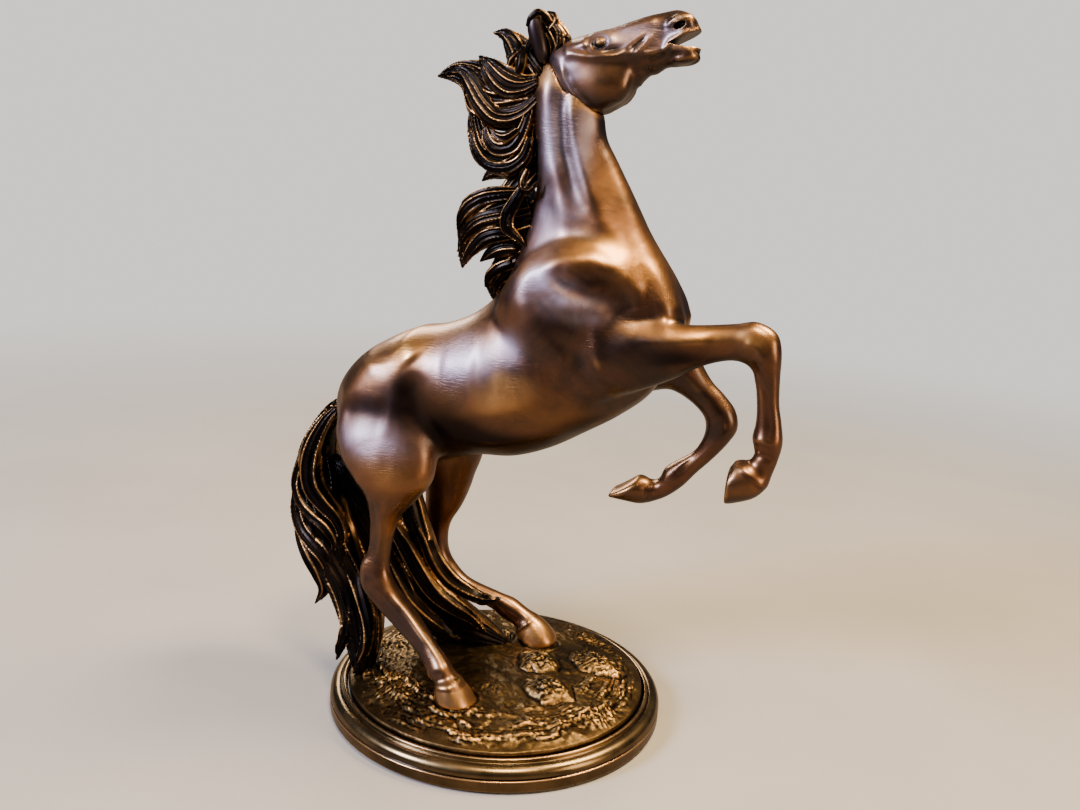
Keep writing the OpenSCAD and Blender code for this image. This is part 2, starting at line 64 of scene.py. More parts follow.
# The plinth's band is 160 mm across, which gives the size of a millimetre in the frame.
PLINTH_LO, PLINTH_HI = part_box("plinth")
MM = (PLINTH_HI.x - PLINTH_LO.x) / 160.0
COARSE = 1.0

# Trunk from the rump to the poll. A chord is [x1, z1, x2, z2, y, half width, skew if not 0].
TRUNK = [
    [-88, 141, -84, 129, 0, 6], [-83, 154, -75, 117, 0, 18], [-74, 165, -61, 113, 0, 24, 0.1],
    [-62, 173.5, -46, 115, 0, 26.5, 0.1], [-48, 180, -30, 120, 0, 27, 0.05],
    [-33, 184, -12, 124.5, 0, 27.5, -0.05], [-20, 190, 5, 126.5, 0, 29.5, -0.1],
    [-11, 197.5, 21, 132.5, 0, 30, -0.1], [-5, 206, 37, 142, 0, 29, -0.1],
    [-1, 216, 51.5, 151.5, 0, 27, -0.1], [2, 226, 64, 163, 0, 25, -0.1], [4, 234, 72, 180, 0, 23.5, -0.15],
    [4.5, 240, 75, 196, 0, 22, -0.2], [5, 244, 71, 210, 0, 20, -0.2], [5.5, 247, 64, 221, 0, 18, -0.15],
    [5.5, 252, 56, 233, 0, 16, -0.1], [5, 258, 48, 247, 0, 14.5], [4, 265, 41, 259, 0, 13],
    [2.5, 273, 35.5, 269, 0, 12.3], [1, 282, 33, 278, 0, 11.8], [1, 291, 30, 288, 0, 11],
    [5, 299, 26, 297, 0, 8],
]
HEAD = [
    [5, 303, 12, 293, 0, 5], [11, 306.5, 17, 283, 0, 10.5], [19, 309.5, 25, 279.5, 0, 12.5],
    [27, 312, 34, 279.5, 0, 12.8, 0.1], [34, 314, 41, 284, 0, 11.8, 0.1], [41, 316.4, 46.5, 290, 0, 9.6],
    [48, 318.8, 52, 295, 0, 8], [55, 320.6, 57.5, 299, 0, 7], [61, 321.6, 62, 299.5, 0, 7.2],
    [66.5, 319.5, 66.5, 301, 0, 7], [70.4, 314.5, 70, 304.5, 0, 5], [71.2, 312, 70.8, 306.5, 0, 2],
]
RIGHT_FORELEG = [
    [28, 206, 22, 160, -15, 5], [41, 202, 36, 156, -17, 10], [54, 197, 49, 162, -18, 10.5],
    [66, 196.5, 60, 166, -18, 9], [78, 196.5, 74, 172.5, -18, 7.8], [89, 197.5, 87, 180, -17, 6.6],
    [99, 199, 97.5, 183.5, -17, 6], [107, 200.5, 104, 183, -17, 6.4], [115, 197, 107.5, 180, -17, 6.6],
    [118, 190, 108.5, 177, -17, 6], [118.7, 179, 109.6, 173, -17, 4.8], [119.6, 168, 110.8, 165, -17, 4.2],
    [121.4, 160, 111, 158.5, -17, 4.5], [122.8, 152, 110.4, 153, -17, 5.6],
    [122, 145, 111.6, 147, -17, 4.8], [120.2, 138, 110.5, 143, -17, 5], [118.5, 132, 106, 142, -17, 6.8],
    [114, 127, 104.2, 141.2, -17, 8.2], [107, 124, 103.6, 140, -17, 8.8],
    [101.8, 122.6, 102.8, 138.5, -17, 8.8],
]
LEFT_FORELEG = [
    [40, 205, 26, 158, 14, 5], [58, 201, 42, 156, 16, 10], [70, 193, 53, 158, 17, 10],
    [77, 184, 62, 160, 18, 8.6], [83, 174, 69, 161.5, 18, 7.4], [88, 167, 76, 159, 18, 6.4],
    [94, 161.5, 82, 155, 18, 6.2], [99.5, 155, 86, 150.5, 18, 6.6], [101.2, 147, 87, 145, 18, 6.2],
    [97.5, 139.5, 85.5, 139, 18, 5], [91.5, 131.5, 82, 133.5, 18, 4.4], [85, 124, 76, 129, 18, 4.4],
    [79, 116.5, 70.5, 124.5, 18, 5.4], [72, 110.5, 68, 119, 18, 5], [65, 107, 64.5, 117.5, 18, 5.4],
    [60, 105.6, 61, 118.6, 18, 7.4], [54, 106, 58, 118.6, 18, 8.6], [49, 106.6, 54, 115.5, 18, 8.6],
    [44.6, 107.4, 47, 110.5, 18, 7.6],
]
RIGHT_HIND_LEG = [
    [-38, 165, -66, 160, -10, 10], [-33, 148, -74, 150, -16, 12], [-30, 134, -78.5, 134, -19, 13.5],
    [-28.5, 123, -75, 122, -21, 13.5], [-29.5, 113, -68, 112, -23, 12.5], [-35, 105, -61, 104, -24, 9.6],
    [-43, 95.5, -58, 95, -25, 6.6], [-46, 86, -57.2, 86, -26, 5.2], [-46.8, 77, -57.6, 77.5, -27, 4.8],
    [-46.4, 69.5, -60.4, 69, -28, 5.4], [-43.5, 64, -59, 60.5, -29, 6],
    [-38.5, 58.5, -51.5, 52.5, -30, 5.6], [-31, 52.5, -41.5, 45.5, -32, 4.8],
    [-21, 44.5, -28.5, 37.5, -36, 4.4], [-14.5, 39.5, -21.5, 32, -39, 4.8], [-10, 36, -19, 28.5, -41, 5.8],
    [-6.5, 32, -15.5, 27.5, -42, 5.2], [-2.5, 29, -14.5, 27.5, -43, 7], [1.5, 25, -14.5, 24, -43.5, 8.4],
    [4.8, 20.5, -14, 20, -44, 9.4],
]
LEFT_HIND_LEG = [
    [-32, 160, -62, 158, 10, 10], [-24, 143, -68, 146, 15, 12], [-20, 127, -68, 130, 18, 13],
    [-21, 116, -62, 116, 20, 12.5], [-24.5, 106, -54, 104, 21, 9.6], [-27, 98, -50.5, 96, 22, 8],
    [-31, 88, -50, 86, 22, 6.2], [-36, 79, -50.5, 77, 22, 5.2], [-37.5, 71, -52, 68, 22, 5.4],
    [-36.5, 63, -50, 57, 22, 6], [-32.5, 56.5, -42, 49, 22, 5.6], [-24.5, 50, -29, 42.5, 22, 4.8],
    [-8.5, 45, -12.5, 36.5, 23, 4.4], [-1, 42.5, -6, 32, 24, 5.6], [6, 38.5, 0, 29.5, 24, 5.2],
    [11, 36, 1.5, 27, 24, 6.4], [16.5, 32.5, 3, 24, 24, 8], [22, 26.5, 5, 22.6, 24, 9],
    [23, 23, 5, 22, 24, 9],
]
CHEST_MUSCLE = [
    [46, 214, 40, 188, -7, 5], [56, 217, 50, 182, -8, 9], [66, 212, 60, 178, -9, 10],
    [73, 205, 68, 180, -9.5, 9], [76.6, 197, 74.6, 188, -9, 4.5],
]
SHOULDER_MUSCLE = [
    [0, 208, -4, 192, -16, 7], [10, 218, 5, 180, -17, 12], [26, 225, 20, 170, -17, 13.5],
    [42, 221, 36, 172, -16, 12], [54, 210, 50, 186, -12, 7],
]
EAR = [
    [4.4, 298.6, 7.2, 298.4, -6, 1.6], [2.6, 302.4, 8.4, 302, -7, 3], [0.4, 307, 8, 306, -7.6, 3.4],
    [-0.8, 312, 6.2, 312, -8.2, 3], [-0.6, 316.5, 4.6, 317, -8.4, 2.1], [1.4, 319.6, 3, 319.8, -8.4, 0.6],
]
EAR_HOLLOW = [
    [-2.6, 304.4, 1.2, 304.4, -9.2, 1.6], [-4.6, 307, -0.4, 307, -9.6, 2.8],
    [-5, 312, -0.8, 312, -9.8, 2.4], [-2, 316.5, 0.2, 316.5, -9.6, 1],
]

# Muscles, tendons and folds of the body: (height, width, [(x, z), ...], side). A fold has a height
# below 0. Side -1 is the horse's right, 1 its left, and none both.
BODY_STROKES = [
    # neck: two long straps, the throat and the base of the neck
    (1.2, 4.4, [(11, 298), (10, 285), (10.6, 272), (13.5, 260), (17.5, 248), (21, 238), (24, 228)]),
    (-1.1, 3.2, [(17.4, 296), (17, 280), (19, 265), (23.6, 252), (29, 241)]),
    (1, 3.4, [(22.5, 290), (22.5, 277), (25, 266), (29, 256), (34, 245), (38, 236)]),
    (-0.8, 3.6, [(29, 280), (33, 268), (38, 257), (43, 245), (49, 234), (54, 227)]),
    (0.5, 5, [(33, 268), (39, 256), (47, 242), (55, 230)]),
    (-0.6, 4, [(20, 231), (32, 231), (44, 227), (54, 219)]),
    (2.2, 5.2, [(12, 212), (25, 219), (38, 220.5), (48, 217), (55, 210.5), (58, 204)]),
    (-0.6, 4.4, [(22, 208), (32, 209), (42, 207), (50, 200)]),
    # shoulder
    (1.1, 5.5, [(12, 222), (10, 212), (10, 202), (13, 194)]),
    (1, 3.4, [(15, 214), (22, 207), (30, 202), (38, 199), (44, 199)]),
    (0.8, 2.8, [(26, 215), (35, 212), (43, 208)]),
    (-0.9, 3.4, [(14, 204), (22, 198), (32, 193), (38, 191)]),
    (1.2, 6, [(6, 196), (18, 187), (28, 180), (34, 172)]),
    (-1.3, 4.2, [(50, 214), (54, 206), (57, 199)]),
    (1.2, 3.6, [(47, 203), (43, 193), (43, 182), (47, 172)]),
    (-0.9, 3.4, [(22, 190), (31, 183), (38, 176), (45, 169), (54, 165)]),
    # chest
    (0.9, 3.4, [(60, 224), (66, 214), (70, 203), (71, 192)]),
    (-0.8, 2.8, [(57, 220), (61, 210), (62, 199)]),
    # flank, hip and thigh
    (1.7, 7, [(-50, 178), (-44, 174), (-39, 169)]),
    (-1.8, 5.5, [(-37, 166), (-39, 156), (-37, 147), (-31, 139), (-22, 132)]),
    (0.9, 10, [(-28, 168), (-8, 169)]),
    (1.2, 7, [(-58, 168), (-68, 158), (-76, 144)]),
    (-1.5, 8.5, [(-74, 144), (-48, 142)]),
    (1, 8.5, [(-76, 124), (-46, 122)]),
    (-0.6, 4.5, [(-68, 117), (-58, 113), (-48, 112)]),
    # belly and ribs
    (-0.9, 5, [(-20, 142), (0, 145), (20, 151), (36, 160)]),
    (0.8, 3.4, [(-18, 133), (2, 136), (22, 142), (40, 151)]),
    (0.5, 12, [(-4, 164), (28, 166)]),
    # raised forelegs: elbow, knee, tendons and coronet
    (0.9, 3, [(58, 189), (70, 190), (82, 191), (92, 191)], -1),
    (-0.6, 2.2, [(62, 180), (74, 183), (86, 187), (96, 189.5)], -1),
    (0.7, 2.2, [(103, 193), (109, 190), (112, 184)], -1),
    (-0.7, 1.3, [(106, 186), (111, 179), (114.4, 171)], -1),
    (-0.6, 1.2, [(114, 177), (115, 168), (116.6, 160), (117.6, 153)], -1),
    (0.5, 1.3, [(119.6, 151.4), (114, 153), (110.6, 152)], -1),
    (-0.7, 1.3, [(120.6, 144.6), (116, 146.4), (111, 146)], -1),
    (0.7, 1.1, [(118.6, 132.8), (112.6, 137.4), (106, 141.4)], -1),
    (0.7, 2.2, [(66, 182), (76, 170), (86, 161)], 1),
    (-0.6, 1.3, [(92, 149), (90, 141), (85, 134), (79, 126), (75, 121)], 1),
    (0.6, 1.1, [(64.8, 107.6), (65, 112), (64.6, 117)], 1),
    # hind legs: hock, tendons, fetlock and coronet
    (-0.9, 1.9, [(-54, 104), (-53.6, 94), (-53, 86), (-54, 77)], -1),
    (0.7, 2.6, [(-47, 104), (-50, 92), (-50.6, 82), (-51, 74)], -1),
    (0.8, 2, [(-58, 76), (-58.4, 69), (-56, 62)], -1),
    (-0.6, 1.2, [(-50, 60), (-42, 52), (-33, 45.6), (-25, 40)], -1),
    (0.7, 1.8, [(-44, 61), (-36, 55), (-27, 47), (-19, 41)], -1),
    (-0.7, 1.4, [(-11, 33.6), (-15, 31.4), (-18, 29.4)], -1),
    (0.8, 1, [(-3.6, 29.6), (-9, 29), (-14.4, 27.8)], -1),
    (-0.6, 1.3, [(-44, 66), (-38, 55), (-28, 47), (-14, 42)], 1),
    (0.7, 1, [(11, 35.4), (6.6, 31.6), (2, 27.2)], 1),
]
# The head: brow, facial crest, cheek, lips and nostril.
HEAD_STROKES = [
    (1.5, 3.6, [(15, 304), (21, 305.4), (27, 306.4)]),
    (0.9, 1.9, [(14, 300.5), (20, 302), (30, 301.4), (38, 301.8), (46, 304.4)]),
    (-0.9, 1.4, [(20, 303.8), (28, 303.4), (36, 304), (42, 305.6)]),
    (-0.9, 1.5, [(45, 300), (46.6, 294), (45.4, 288), (41, 283.6), (35, 281.4)]),
    (-0.8, 1.6, [(30, 282), (24, 286), (19.6, 291), (17.4, 297)]),
    (1, 1.5, [(15.4, 299), (17.6, 293), (21, 287.4), (25.4, 283.6)]),
    (-1.3, 2.6, [(49.6, 299), (50.6, 295), (49.4, 291)]),
    (0.7, 1.1, [(41, 304.4), (44.6, 308), (49, 312)]),
    (-0.9, 1.2, [(43.6, 304.4), (46.6, 307.4), (49.6, 309.6)]),
    (0.8, 1, [(46, 302.8), (48.6, 306.4), (52.4, 311.6)]),
    (-0.5, 2.6, [(54, 308), (57, 311), (56, 315)]),
    (1, 1.3, [(46, 303), (52, 303.4), (57, 305), (59.6, 308.6), (64.6, 311.6), (70, 314)]),
    (-0.8, 1.3, [(50, 301.4), (55, 302.6), (58, 304.4)]),
    (0.8, 1.4, [(59, 306), (64, 305.6), (70.4, 305.4)]),
    (-0.6, 1.5, [(59, 302.4), (62.6, 303.4), (65, 303)]),
    (0.6, 1.2, [(57.6, 312.6), (58.6, 316.4), (62, 318.8), (66, 318.4), (68, 315.6)]),
    (0.6, 1, [(59, 299.6), (54, 295.6), (49, 291), (44, 286.4), (38, 281.6)]),
    (0.7, 2.4, [(38, 312.6), (46, 315), (54, 317.4)]),
    (0.7, 0.9, [(25.6, 303.8), (29, 303.4), (32.6, 303.9), (35.6, 306.2)]),
    (0.6, 1.3, [(24.6, 308.4), (27.6, 310.8), (31.4, 311.4), (35.2, 309.6), (36.6, 306.6)]),
]
# Patina and painted light of the body in the side view: (x, z, reach in x, reach in z, tint, amount). Gold is
# rub and a painted warm highlight and reflection; violet is a pale patina laid where the highlights fall,
# partly a painted highlight; dark is dark patina round the eye, nostril and ear, and painted shade under the
# belly, in the groin, under the forelegs and on the upper thigh.
PATINA = [
    (42, 225, 16, 5, "gold_rub_and_highlight", 1), (57, 217, 8, 6, "gold_rub_and_highlight", 0.7), (14, 216, 8, 13, "violet_patina_and_highlight", 1),
    (16, 234, 7, 10, "violet_patina_and_highlight", 0.8), (42, 211, 15, 4, "dark_patina_and_shade", 0.6), (22, 209, 11, 4, "violet_patina_and_highlight", 0.9),
    (30, 202, 13, 3.5, "violet_patina_and_highlight", 0.9), (36, 196, 11, 3, "violet_patina_and_highlight", 0.6), (24, 191, 12, 6, "dark_patina_and_shade", 0.5),
    (31, 307, 5, 4, "dark_patina_and_shade", 0.8), (-45, 175, 9, 7, "gold_rub_and_highlight", 1), (-43, 152, 11, 13, "dark_patina_and_shade", 0.9),
    (-63, 144, 13, 9, "dark_patina_and_shade", 0.7), (-19, 173, 14, 11, "violet_patina_and_highlight", 1), (6, 181, 6, 7, "violet_patina_and_highlight", 0.8),
    (-56, 132, 18, 10, "violet_patina_and_highlight", 1), (-48, 117, 16, 9, "gold_rub_and_highlight", 0.55), (-44, 92, 9, 14, "gold_rub_and_highlight", 0.3),
    (12, 154, 32, 8, "gold_rub_and_highlight", 0.45), (10, 135, 38, 8, "dark_patina_and_shade", 1), (44, 148, 16, 6, "dark_patina_and_shade", 0.8),
    (-18, 135, 14, 14, "dark_patina_and_shade", 1), (-26, 150, 9, 9, "dark_patina_and_shade", 0.35), (13, 264, 5, 26, "violet_patina_and_highlight", 1),
    (27, 266, 4.5, 18, "violet_patina_and_highlight", 0.8), (42, 253, 8, 18, "gold_rub_and_highlight", 0.25), (33, 293, 9, 8, "gold_rub_and_highlight", 0.25),
    (19, 294, 4, 7, "violet_patina_and_highlight", 0.6), (40, 310, 18, 5, "violet_patina_and_highlight", 0.9), (48, 308, 8, 4, "gold_rub_and_highlight", 0.4),
    (61, 316, 6, 4, "dark_patina_and_shade", 0.7), (4, 309, 8, 13, "violet_patina_and_highlight", 0.6), (4, 309, 8, 13, "dark_patina_and_shade", 0.9),
    (85, 194, 22, 3, "gold_rub_and_highlight", 0.8), (78, 183, 18, 5, "dark_patina_and_shade", 0.8), (107, 192, 6, 5, "gold_rub_and_highlight", 0.5),
]
# Opening of the mouth in the side view.
MOUTH = [(58.5, 308), (64, 310.8), (74, 315.4), (75, 307), (64, 307.2)]
POWER = 2.2  # body sections are slightly squarer than an ellipse


def spline(table, s):
    """Catmull-Rom curve through the rows of a table."""
    last = len(table) - 1
    i = np.clip(s.astype(int), 0, last - 1)
    t = (s - i)[..., None]
    a, b = table[np.maximum(i - 1, 0)], table[i]
    c, d = table[i + 1], table[np.minimum(i + 2, last)]
    return 0.5 * (2 * b + (c - a) * t + (2 * a - 5 * b + 4 * c - d) * t * t + (3 * b - a - 3 * c + d) * t**3)


def ease(t):
    """Smooth step from 0 to 1."""
    t = np.clip(t, 0, 1)
    return t * t * (3 - 2 * t)


def soft_union(a, b, radius):
    if radius <= 0:
        return np.minimum(a, b)
    h = np.clip(0.5 + 0.5 * (b - a) / radius, 0, 1)
    return b + (a - b) * h - radius * h * (1 - h)


def mirrored(chords):
    return [c[:4] + [-c[4]] + c[5:] for c in chords]


class Grid:
    """Distances to a skin on a regular grid, below 0 inside."""

    FAR = 30.0  # where nothing is near
    FADE = 0.22  # part of a stroke that fades out at each end
    SIDE_EDGE = 6  # width in which a stroke on one side fades out in the middle

    def __init__(self, lo, hi, step, strands=False):
        self.step = step * COARSE
        self.lo = np.array(lo, float)
        self.n = np.ceil((np.array(hi, float) - self.lo) / self.step).astype(int) + 1
        self.axes = [self.lo[i] + self.step * np.arange(self.n[i]) for i in range(3)]
        self.d = np.full(self.n, self.FAR, np.float32)
        self.crest = np.zeros(self.n, np.float32) if strands else None

    def window(self, lo=(-np.inf,) * 3, hi=(np.inf,) * 3):
        """Slices and open axes of the part of the grid inside a box."""
        ends = [np.searchsorted(axis, pair) for axis, pair in zip(self.axes, zip(lo, hi))]
        if any(b <= a for a, b in ends):
            return None, None
        cut = tuple(slice(a, b) for a, b in ends)
        return cut, np.ix_(*(axis[c].astype(np.float32) for axis, c in zip(self.axes, cut)))

    def add(self, shape, radius=0.0):
        cut, axes = self.window(*shape.box(3 + radius))
        if cut:
            d = shape.distance(*axes)
            if self.crest is not None:
                self.crest[cut] = np.where(d < self.d[cut], shape.crest, self.crest[cut])
            self.d[cut] = soft_union(self.d[cut], d, radius)

    def remove(self, shape, gap=0.0):
        cut, axes = self.window(*shape.box(4))
        if cut:
            self.d[cut] = np.maximum(self.d[cut], gap - shape.distance(*axes))

    def slot(self, outline):
        """Cuts a convex outline, clockwise in the side view, through the whole width."""
        p, out = np.array(outline), -self.FAR
        _, (x, _, z) = self.window()
        for a, b in zip(p, np.roll(p, -1, 0)):
            n = np.array([a[1] - b[1], b[0] - a[0]]) / np.hypot(*(b - a))
            out = np.maximum(out, (x - a[0]) * n[0] + (z - a[1]) * n[1])
        self.d = np.maximum(self.d, -out).astype(np.float32)

    def soften(self):
        """Rounds creases of about one cell."""
        for axis in (0, 1, 2, 0, 1, 2):
            a = np.moveaxis(self.d, axis, 0)
            a[1:-1] = 0.25 * a[:-2] + 0.5 * a[1:-1] + 0.25 * a[2:]

    def blurred(self, reach):
        """The field, limited to near the skin, averaged over a reach in millimetres."""
        d = np.clip(self.d, -2 * reach, 2 * reach)
        cells = max(1, round(reach / self.step))
        for axis in (0, 1, 2, 0, 1, 2):
            pad = [(0, 0)] * 3
            pad[axis] = (cells + 1, cells)
            total = np.moveaxis(np.cumsum(np.pad(d, pad, mode="edge"), axis=axis, dtype=np.float64), axis, 0)
            d = np.moveaxis((total[2 * cells + 1:] - total[:-2 * cells - 1]) / (2 * cells + 1), 0, axis)
        return d

    def stroke(self, height, width, points, side=0):
        """Raises the skin along a line in the side view, fading at both ends."""
        p, reach = np.array(points, float), 2.6 * width
        (x0, z0), (x1, z1) = p.min(0) - reach, p.max(0) + reach
        cut, axes = self.window([x0, -np.inf, z0], [x1, np.inf, z1])
        if not cut:
            return
        x, y, z = axes
        best = np.full((x.size, 1, z.size), 1e6, np.float32)
        where = np.zeros_like(best)
        way = np.concatenate([[0], np.cumsum(np.hypot(*np.diff(p, axis=0).T))])
        for i in range(len(p) - 1):
            e = p[i + 1] - p[i]
            t = np.clip(((x - p[i, 0]) * e[0] + (z - p[i, 1]) * e[1]) / (e @ e), 0, 1)
            r = np.hypot(x - p[i, 0] - t * e[0], z - p[i, 1] - t * e[1])
            near = r < best
            best = np.where(near, r, best)
            where = np.where(near, (way[i] + t * (way[i + 1] - way[i])) / way[-1], where)
        fade = np.clip(np.minimum(where, 1 - where) / self.FADE, 0, 1)
        amount = height * (0.25 + 0.75 * fade * fade * (3 - 2 * fade)) * np.exp(-((best / width) ** 2))
        if side:
            amount = amount * np.clip(0.5 + side * y / self.SIDE_EDGE, 0, 1)
        self.d[cut] -= amount


class Loft:
    """Solid through chords. Flutes are the ridges across half of it, of a depth, shifted by a seed."""

    FINE = 4  # pieces of the middle line per chord
    PAST = 99  # not past an end

    def __init__(self, chords, power=2.0, flutes=0, depth=0, seed=0, shine=1.0):
        self.t = np.array([c + [0] * (7 - len(c)) for c in chords], float)
        self.power, self.flutes, self.depth, self.seed, self.shine = power, flutes, depth, seed, shine
        last = len(chords) - 1
        c = spline(self.t, np.linspace(0, last, last * self.FINE + 1))
        self.mid = (c[:, 0:2] + c[:, 2:4]) / 2
        across = c[:, 0:2] - c[:, 2:4]
        self.across = across / np.linalg.norm(across, axis=1)[:, None]
        self.normal = np.stack([self.across[:, 1], -self.across[:, 0]], 1)
        if (self.normal * np.gradient(self.mid, axis=0)).sum() < 0:
            self.normal = -self.normal
        xs, zs = c[:, [0, 2]], c[:, [1, 3]]
        self.lo = np.array([xs.min(), (c[:, 4] - c[:, 5]).min(), zs.min()])
        self.hi = np.array([xs.max(), (c[:, 4] + c[:, 5]).max(), zs.max()])

    def box(self, margin):
        return self.lo - margin, self.hi + margin

    def flat(self, x, z):
        """Place along the loft, across its chord, and past its ends, in the side view."""
        x, z = x[..., None], z[..., None]
        dx, dz = x - self.mid[:, 0], z - self.mid[:, 1]
        g = dx * self.normal[:, 0] + dz * self.normal[:, 1]
        off = np.abs(dx * self.across[:, 0] + dz * self.across[:, 1])
        before, after = g[..., :-1], g[..., 1:]
        cost = off[..., :-1] + off[..., 1:] + 8 * np.maximum(0, np.maximum(-before, after))
        k = cost.argmin(-1)[..., None]
        g0, g1 = (np.take_along_axis(side, k, -1)[..., 0] for side in (before, after))
        k = k[..., 0]
        s = (k + np.clip(g0 / np.maximum(g0 - g1, 1e-6), 0, 1)) / self.FINE
        c = spline(self.t, s)
        half = np.maximum(np.hypot(c[..., 0] - c[..., 2], c[..., 1] - c[..., 3]) / 2, 0.05)
        mx, mz = (c[..., 0] + c[..., 2]) / 2, (c[..., 1] + c[..., 3]) / 2
        u = ((x[..., 0] - mx) * (c[..., 0] - mx) + (z[..., 0] - mz) * (c[..., 1] - mz)) / half**2
        past = np.maximum(np.where(k == 0, -g0, -self.PAST),
                          np.where(k == before.shape[-1] - 1, g1, -self.PAST))
        return [a.astype(np.float32) for a in (s, u, past, half, c[..., 4:])]

    def distance(self, x, y, z):
        s, u, past, half, c = self.flat(x, z)
        w = np.maximum(c[..., 1], 0.05) * np.clip(1 + c[..., 2] * u, 0.4, 2)
        a, b = np.abs(u), np.abs((y - c[..., 0]) / w)
        p = self.power
        if p == 2:
            r = np.maximum(np.sqrt(a * a + b * b), 1e-3)
            slope = np.sqrt((a / half) ** 2 + (b / w) ** 2) / r
        else:
            r = np.maximum((a**p + b**p) ** (1 / p), 1e-3)
            slope = np.sqrt((a ** (p - 1) / half) ** 2 + (b ** (p - 1) / w) ** 2) * r ** (1 - p)
        d = (r - 1) / np.maximum(slope, 1e-3)
        if self.flutes:
            turn = u * self.flutes + 0.22 * np.sin(1.3 * s + self.seed)
            turn = turn + np.where(y < c[..., 0], 0.0, 0.45) + self.seed * 0.37
            ridge = (np.abs(turn - np.floor(turn) - 0.5) * 2) ** 1.6
            rank = 0.72 + 0.28 * np.sin(np.floor(turn + 0.5) * 2.4 + self.seed)
            # crest: rub on the higher ridges, and a painted rim highlight along the lock's outline in the
            # side view
            self.crest = self.shine * np.maximum(ridge * rank, 0.9 * np.clip((a - 0.80) / 0.12, 0, 1))
            d = d - 1.25 * self.depth * (ridge * rank - 0.4) * np.clip(half / 1.5, 0.15, 1)
        return np.maximum(d, past)


class Ball:
    """Ellipsoid with its long axis turned in the side view."""

    def __init__(self, centre, radii, turn):
        self.centre, self.radii = np.array(centre, float), np.array(radii, float)
        self.turn = math.radians(turn)

    def box(self, margin):
        reach = self.radii.max() + margin
        return self.centre - reach, self.centre + reach

    def distance(self, x, y, z):
        dx, dz = x - self.centre[0], z - self.centre[2]
        c, s = math.cos(self.turn), math.sin(self.turn)
        rx, ry, rz = self.radii
        a, b, e = (dx * c + dz * s) / rx, (dz * c - dx * s) / rz, (y - self.centre[1]) / ry
        r = np.maximum(np.sqrt(a * a + b * b + e * e), 1e-3)
        slope = np.sqrt((a / rx) ** 2 + (b / rz) ** 2 + (e / ry) ** 2) / r
        return ((r - 1) / np.maximum(slope, 1e-3)).astype(np.float32)


def horse(grid):
    """Adds the whole horse's skin, as far as it reaches into the grid."""
    grid.add(Loft(TRUNK, POWER))
    for muscle in (SHOULDER_MUSCLE, CHEST_MUSCLE):
        grid.add(Loft(muscle), 5)
        grid.add(Loft(mirrored(muscle)), 5)
    for _, leg, blend, *_ in LIMBS:
        grid.add(Loft(leg, POWER), blend)
    for stroke in BODY_STROKES:
        grid.stroke(*stroke)
    grid.soften()


CORNERS = [(i, j, k) for i in (0, 1) for j in (0, 1) for k in (0, 1)]
EDGES = [(a, b) for a in range(8) for b in range(a + 1, 8)
         if sum(abs(p - q) for p, q in zip(CORNERS[a], CORNERS[b])) == 1]


def sample(field, at):
    """Trilinear value of a grid field at places in cells."""
    i = np.clip(np.floor(at).astype(int), 0, np.array(field.shape) - 2)
    f, out = at - i, 0
    for corner in CORNERS:
        x, y, z = (f[:, n] if far else 1 - f[:, n] for n, far in enumerate(corner))
        out = out + x * y * z * field[tuple((i + corner).T)]
    return out


def skin(grid):
    """Surface net of a grid: vertices in millimetres and quads that face out."""
    d = grid.d.copy()
    for axis in range(3):
        layers = np.moveaxis(d, axis, 0)
        layers[[0, -1]] = np.maximum(layers[[0, -1]], 0.3 * grid.step)
    inside = d < 0
    n = np.array(d.shape) - 1
    corner = [inside[i:i + n[0], j:j + n[1], k:k + n[2]] for i, j, k in CORNERS]
    cells = np.argwhere(np.any(corner, 0) & ~np.all(corner, 0))
    number = np.full(n, -1, np.int64)
    number[tuple(cells.T)] = np.arange(len(cells))
    value = [d[tuple((cells + c).T)] for c in CORNERS]
    total, hits = np.zeros((len(cells), 3)), np.zeros(len(cells))
    for a, b in EDGES:
        va, vb = value[a], value[b]
        crossing = (va < 0) != (vb < 0)
        t = np.where(crossing, va / np.where(crossing, va - vb, 1), 0)
        pa, pb = np.array(CORNERS[a], float), np.array(CORNERS[b], float)
        total += np.where(crossing[:, None], pa + t[:, None] * (pb - pa), 0)
        hits += crossing
    at = cells + total / hits[:, None]
    slopes = np.gradient(d)
    for _ in range(2):
        g = np.stack([sample(s, at) for s in slopes], 1)
        step = sample(d, at)[:, None] * g / np.maximum((g * g).sum(1), 1e-6)[:, None]
        size = np.linalg.norm(step, axis=1)[:, None]
        at = at - step * np.minimum(1, 0.35 / np.maximum(size, 1e-9))
    quads = []
    for axis in range(3):
        others = [i for i in range(3) if i != axis]
        lower, upper = [slice(1, -1)] * 3, [slice(1, -1)] * 3
        lower[axis], upper[axis] = slice(0, -1), slice(1, None)
        first = inside[tuple(lower)]
        e = np.argwhere(first != inside[tuple(upper)])
        turn = first[tuple(e.T)] == (axis == 1)
        e[:, others] += 1
        back = np.zeros((4, 1, 3), int)
        back[:, 0, others] = ((1, 1), (0, 1), (0, 0), (1, 0))
        q = number[tuple((e - back).T)]
        q[turn] = q[turn][:, ::-1]
        quads.append(q)
    return grid.lo + at * grid.step, np.concatenate(quads)


def chord_plane(chord, shift=1.0):
    """Point and normal of the plane through a chord, moved along the limb."""
    x1, z1, x2, z2, y = chord[:5]
    length = math.hypot(x1 - x2, z1 - z2)
    nx, nz = (z1 - z2) / length, -(x1 - x2) / length
    return Vector(((x1 + x2) / 2 + nx * shift, y, (z1 + z2) / 2 + nz * shift)), Vector((nx, 0, nz))


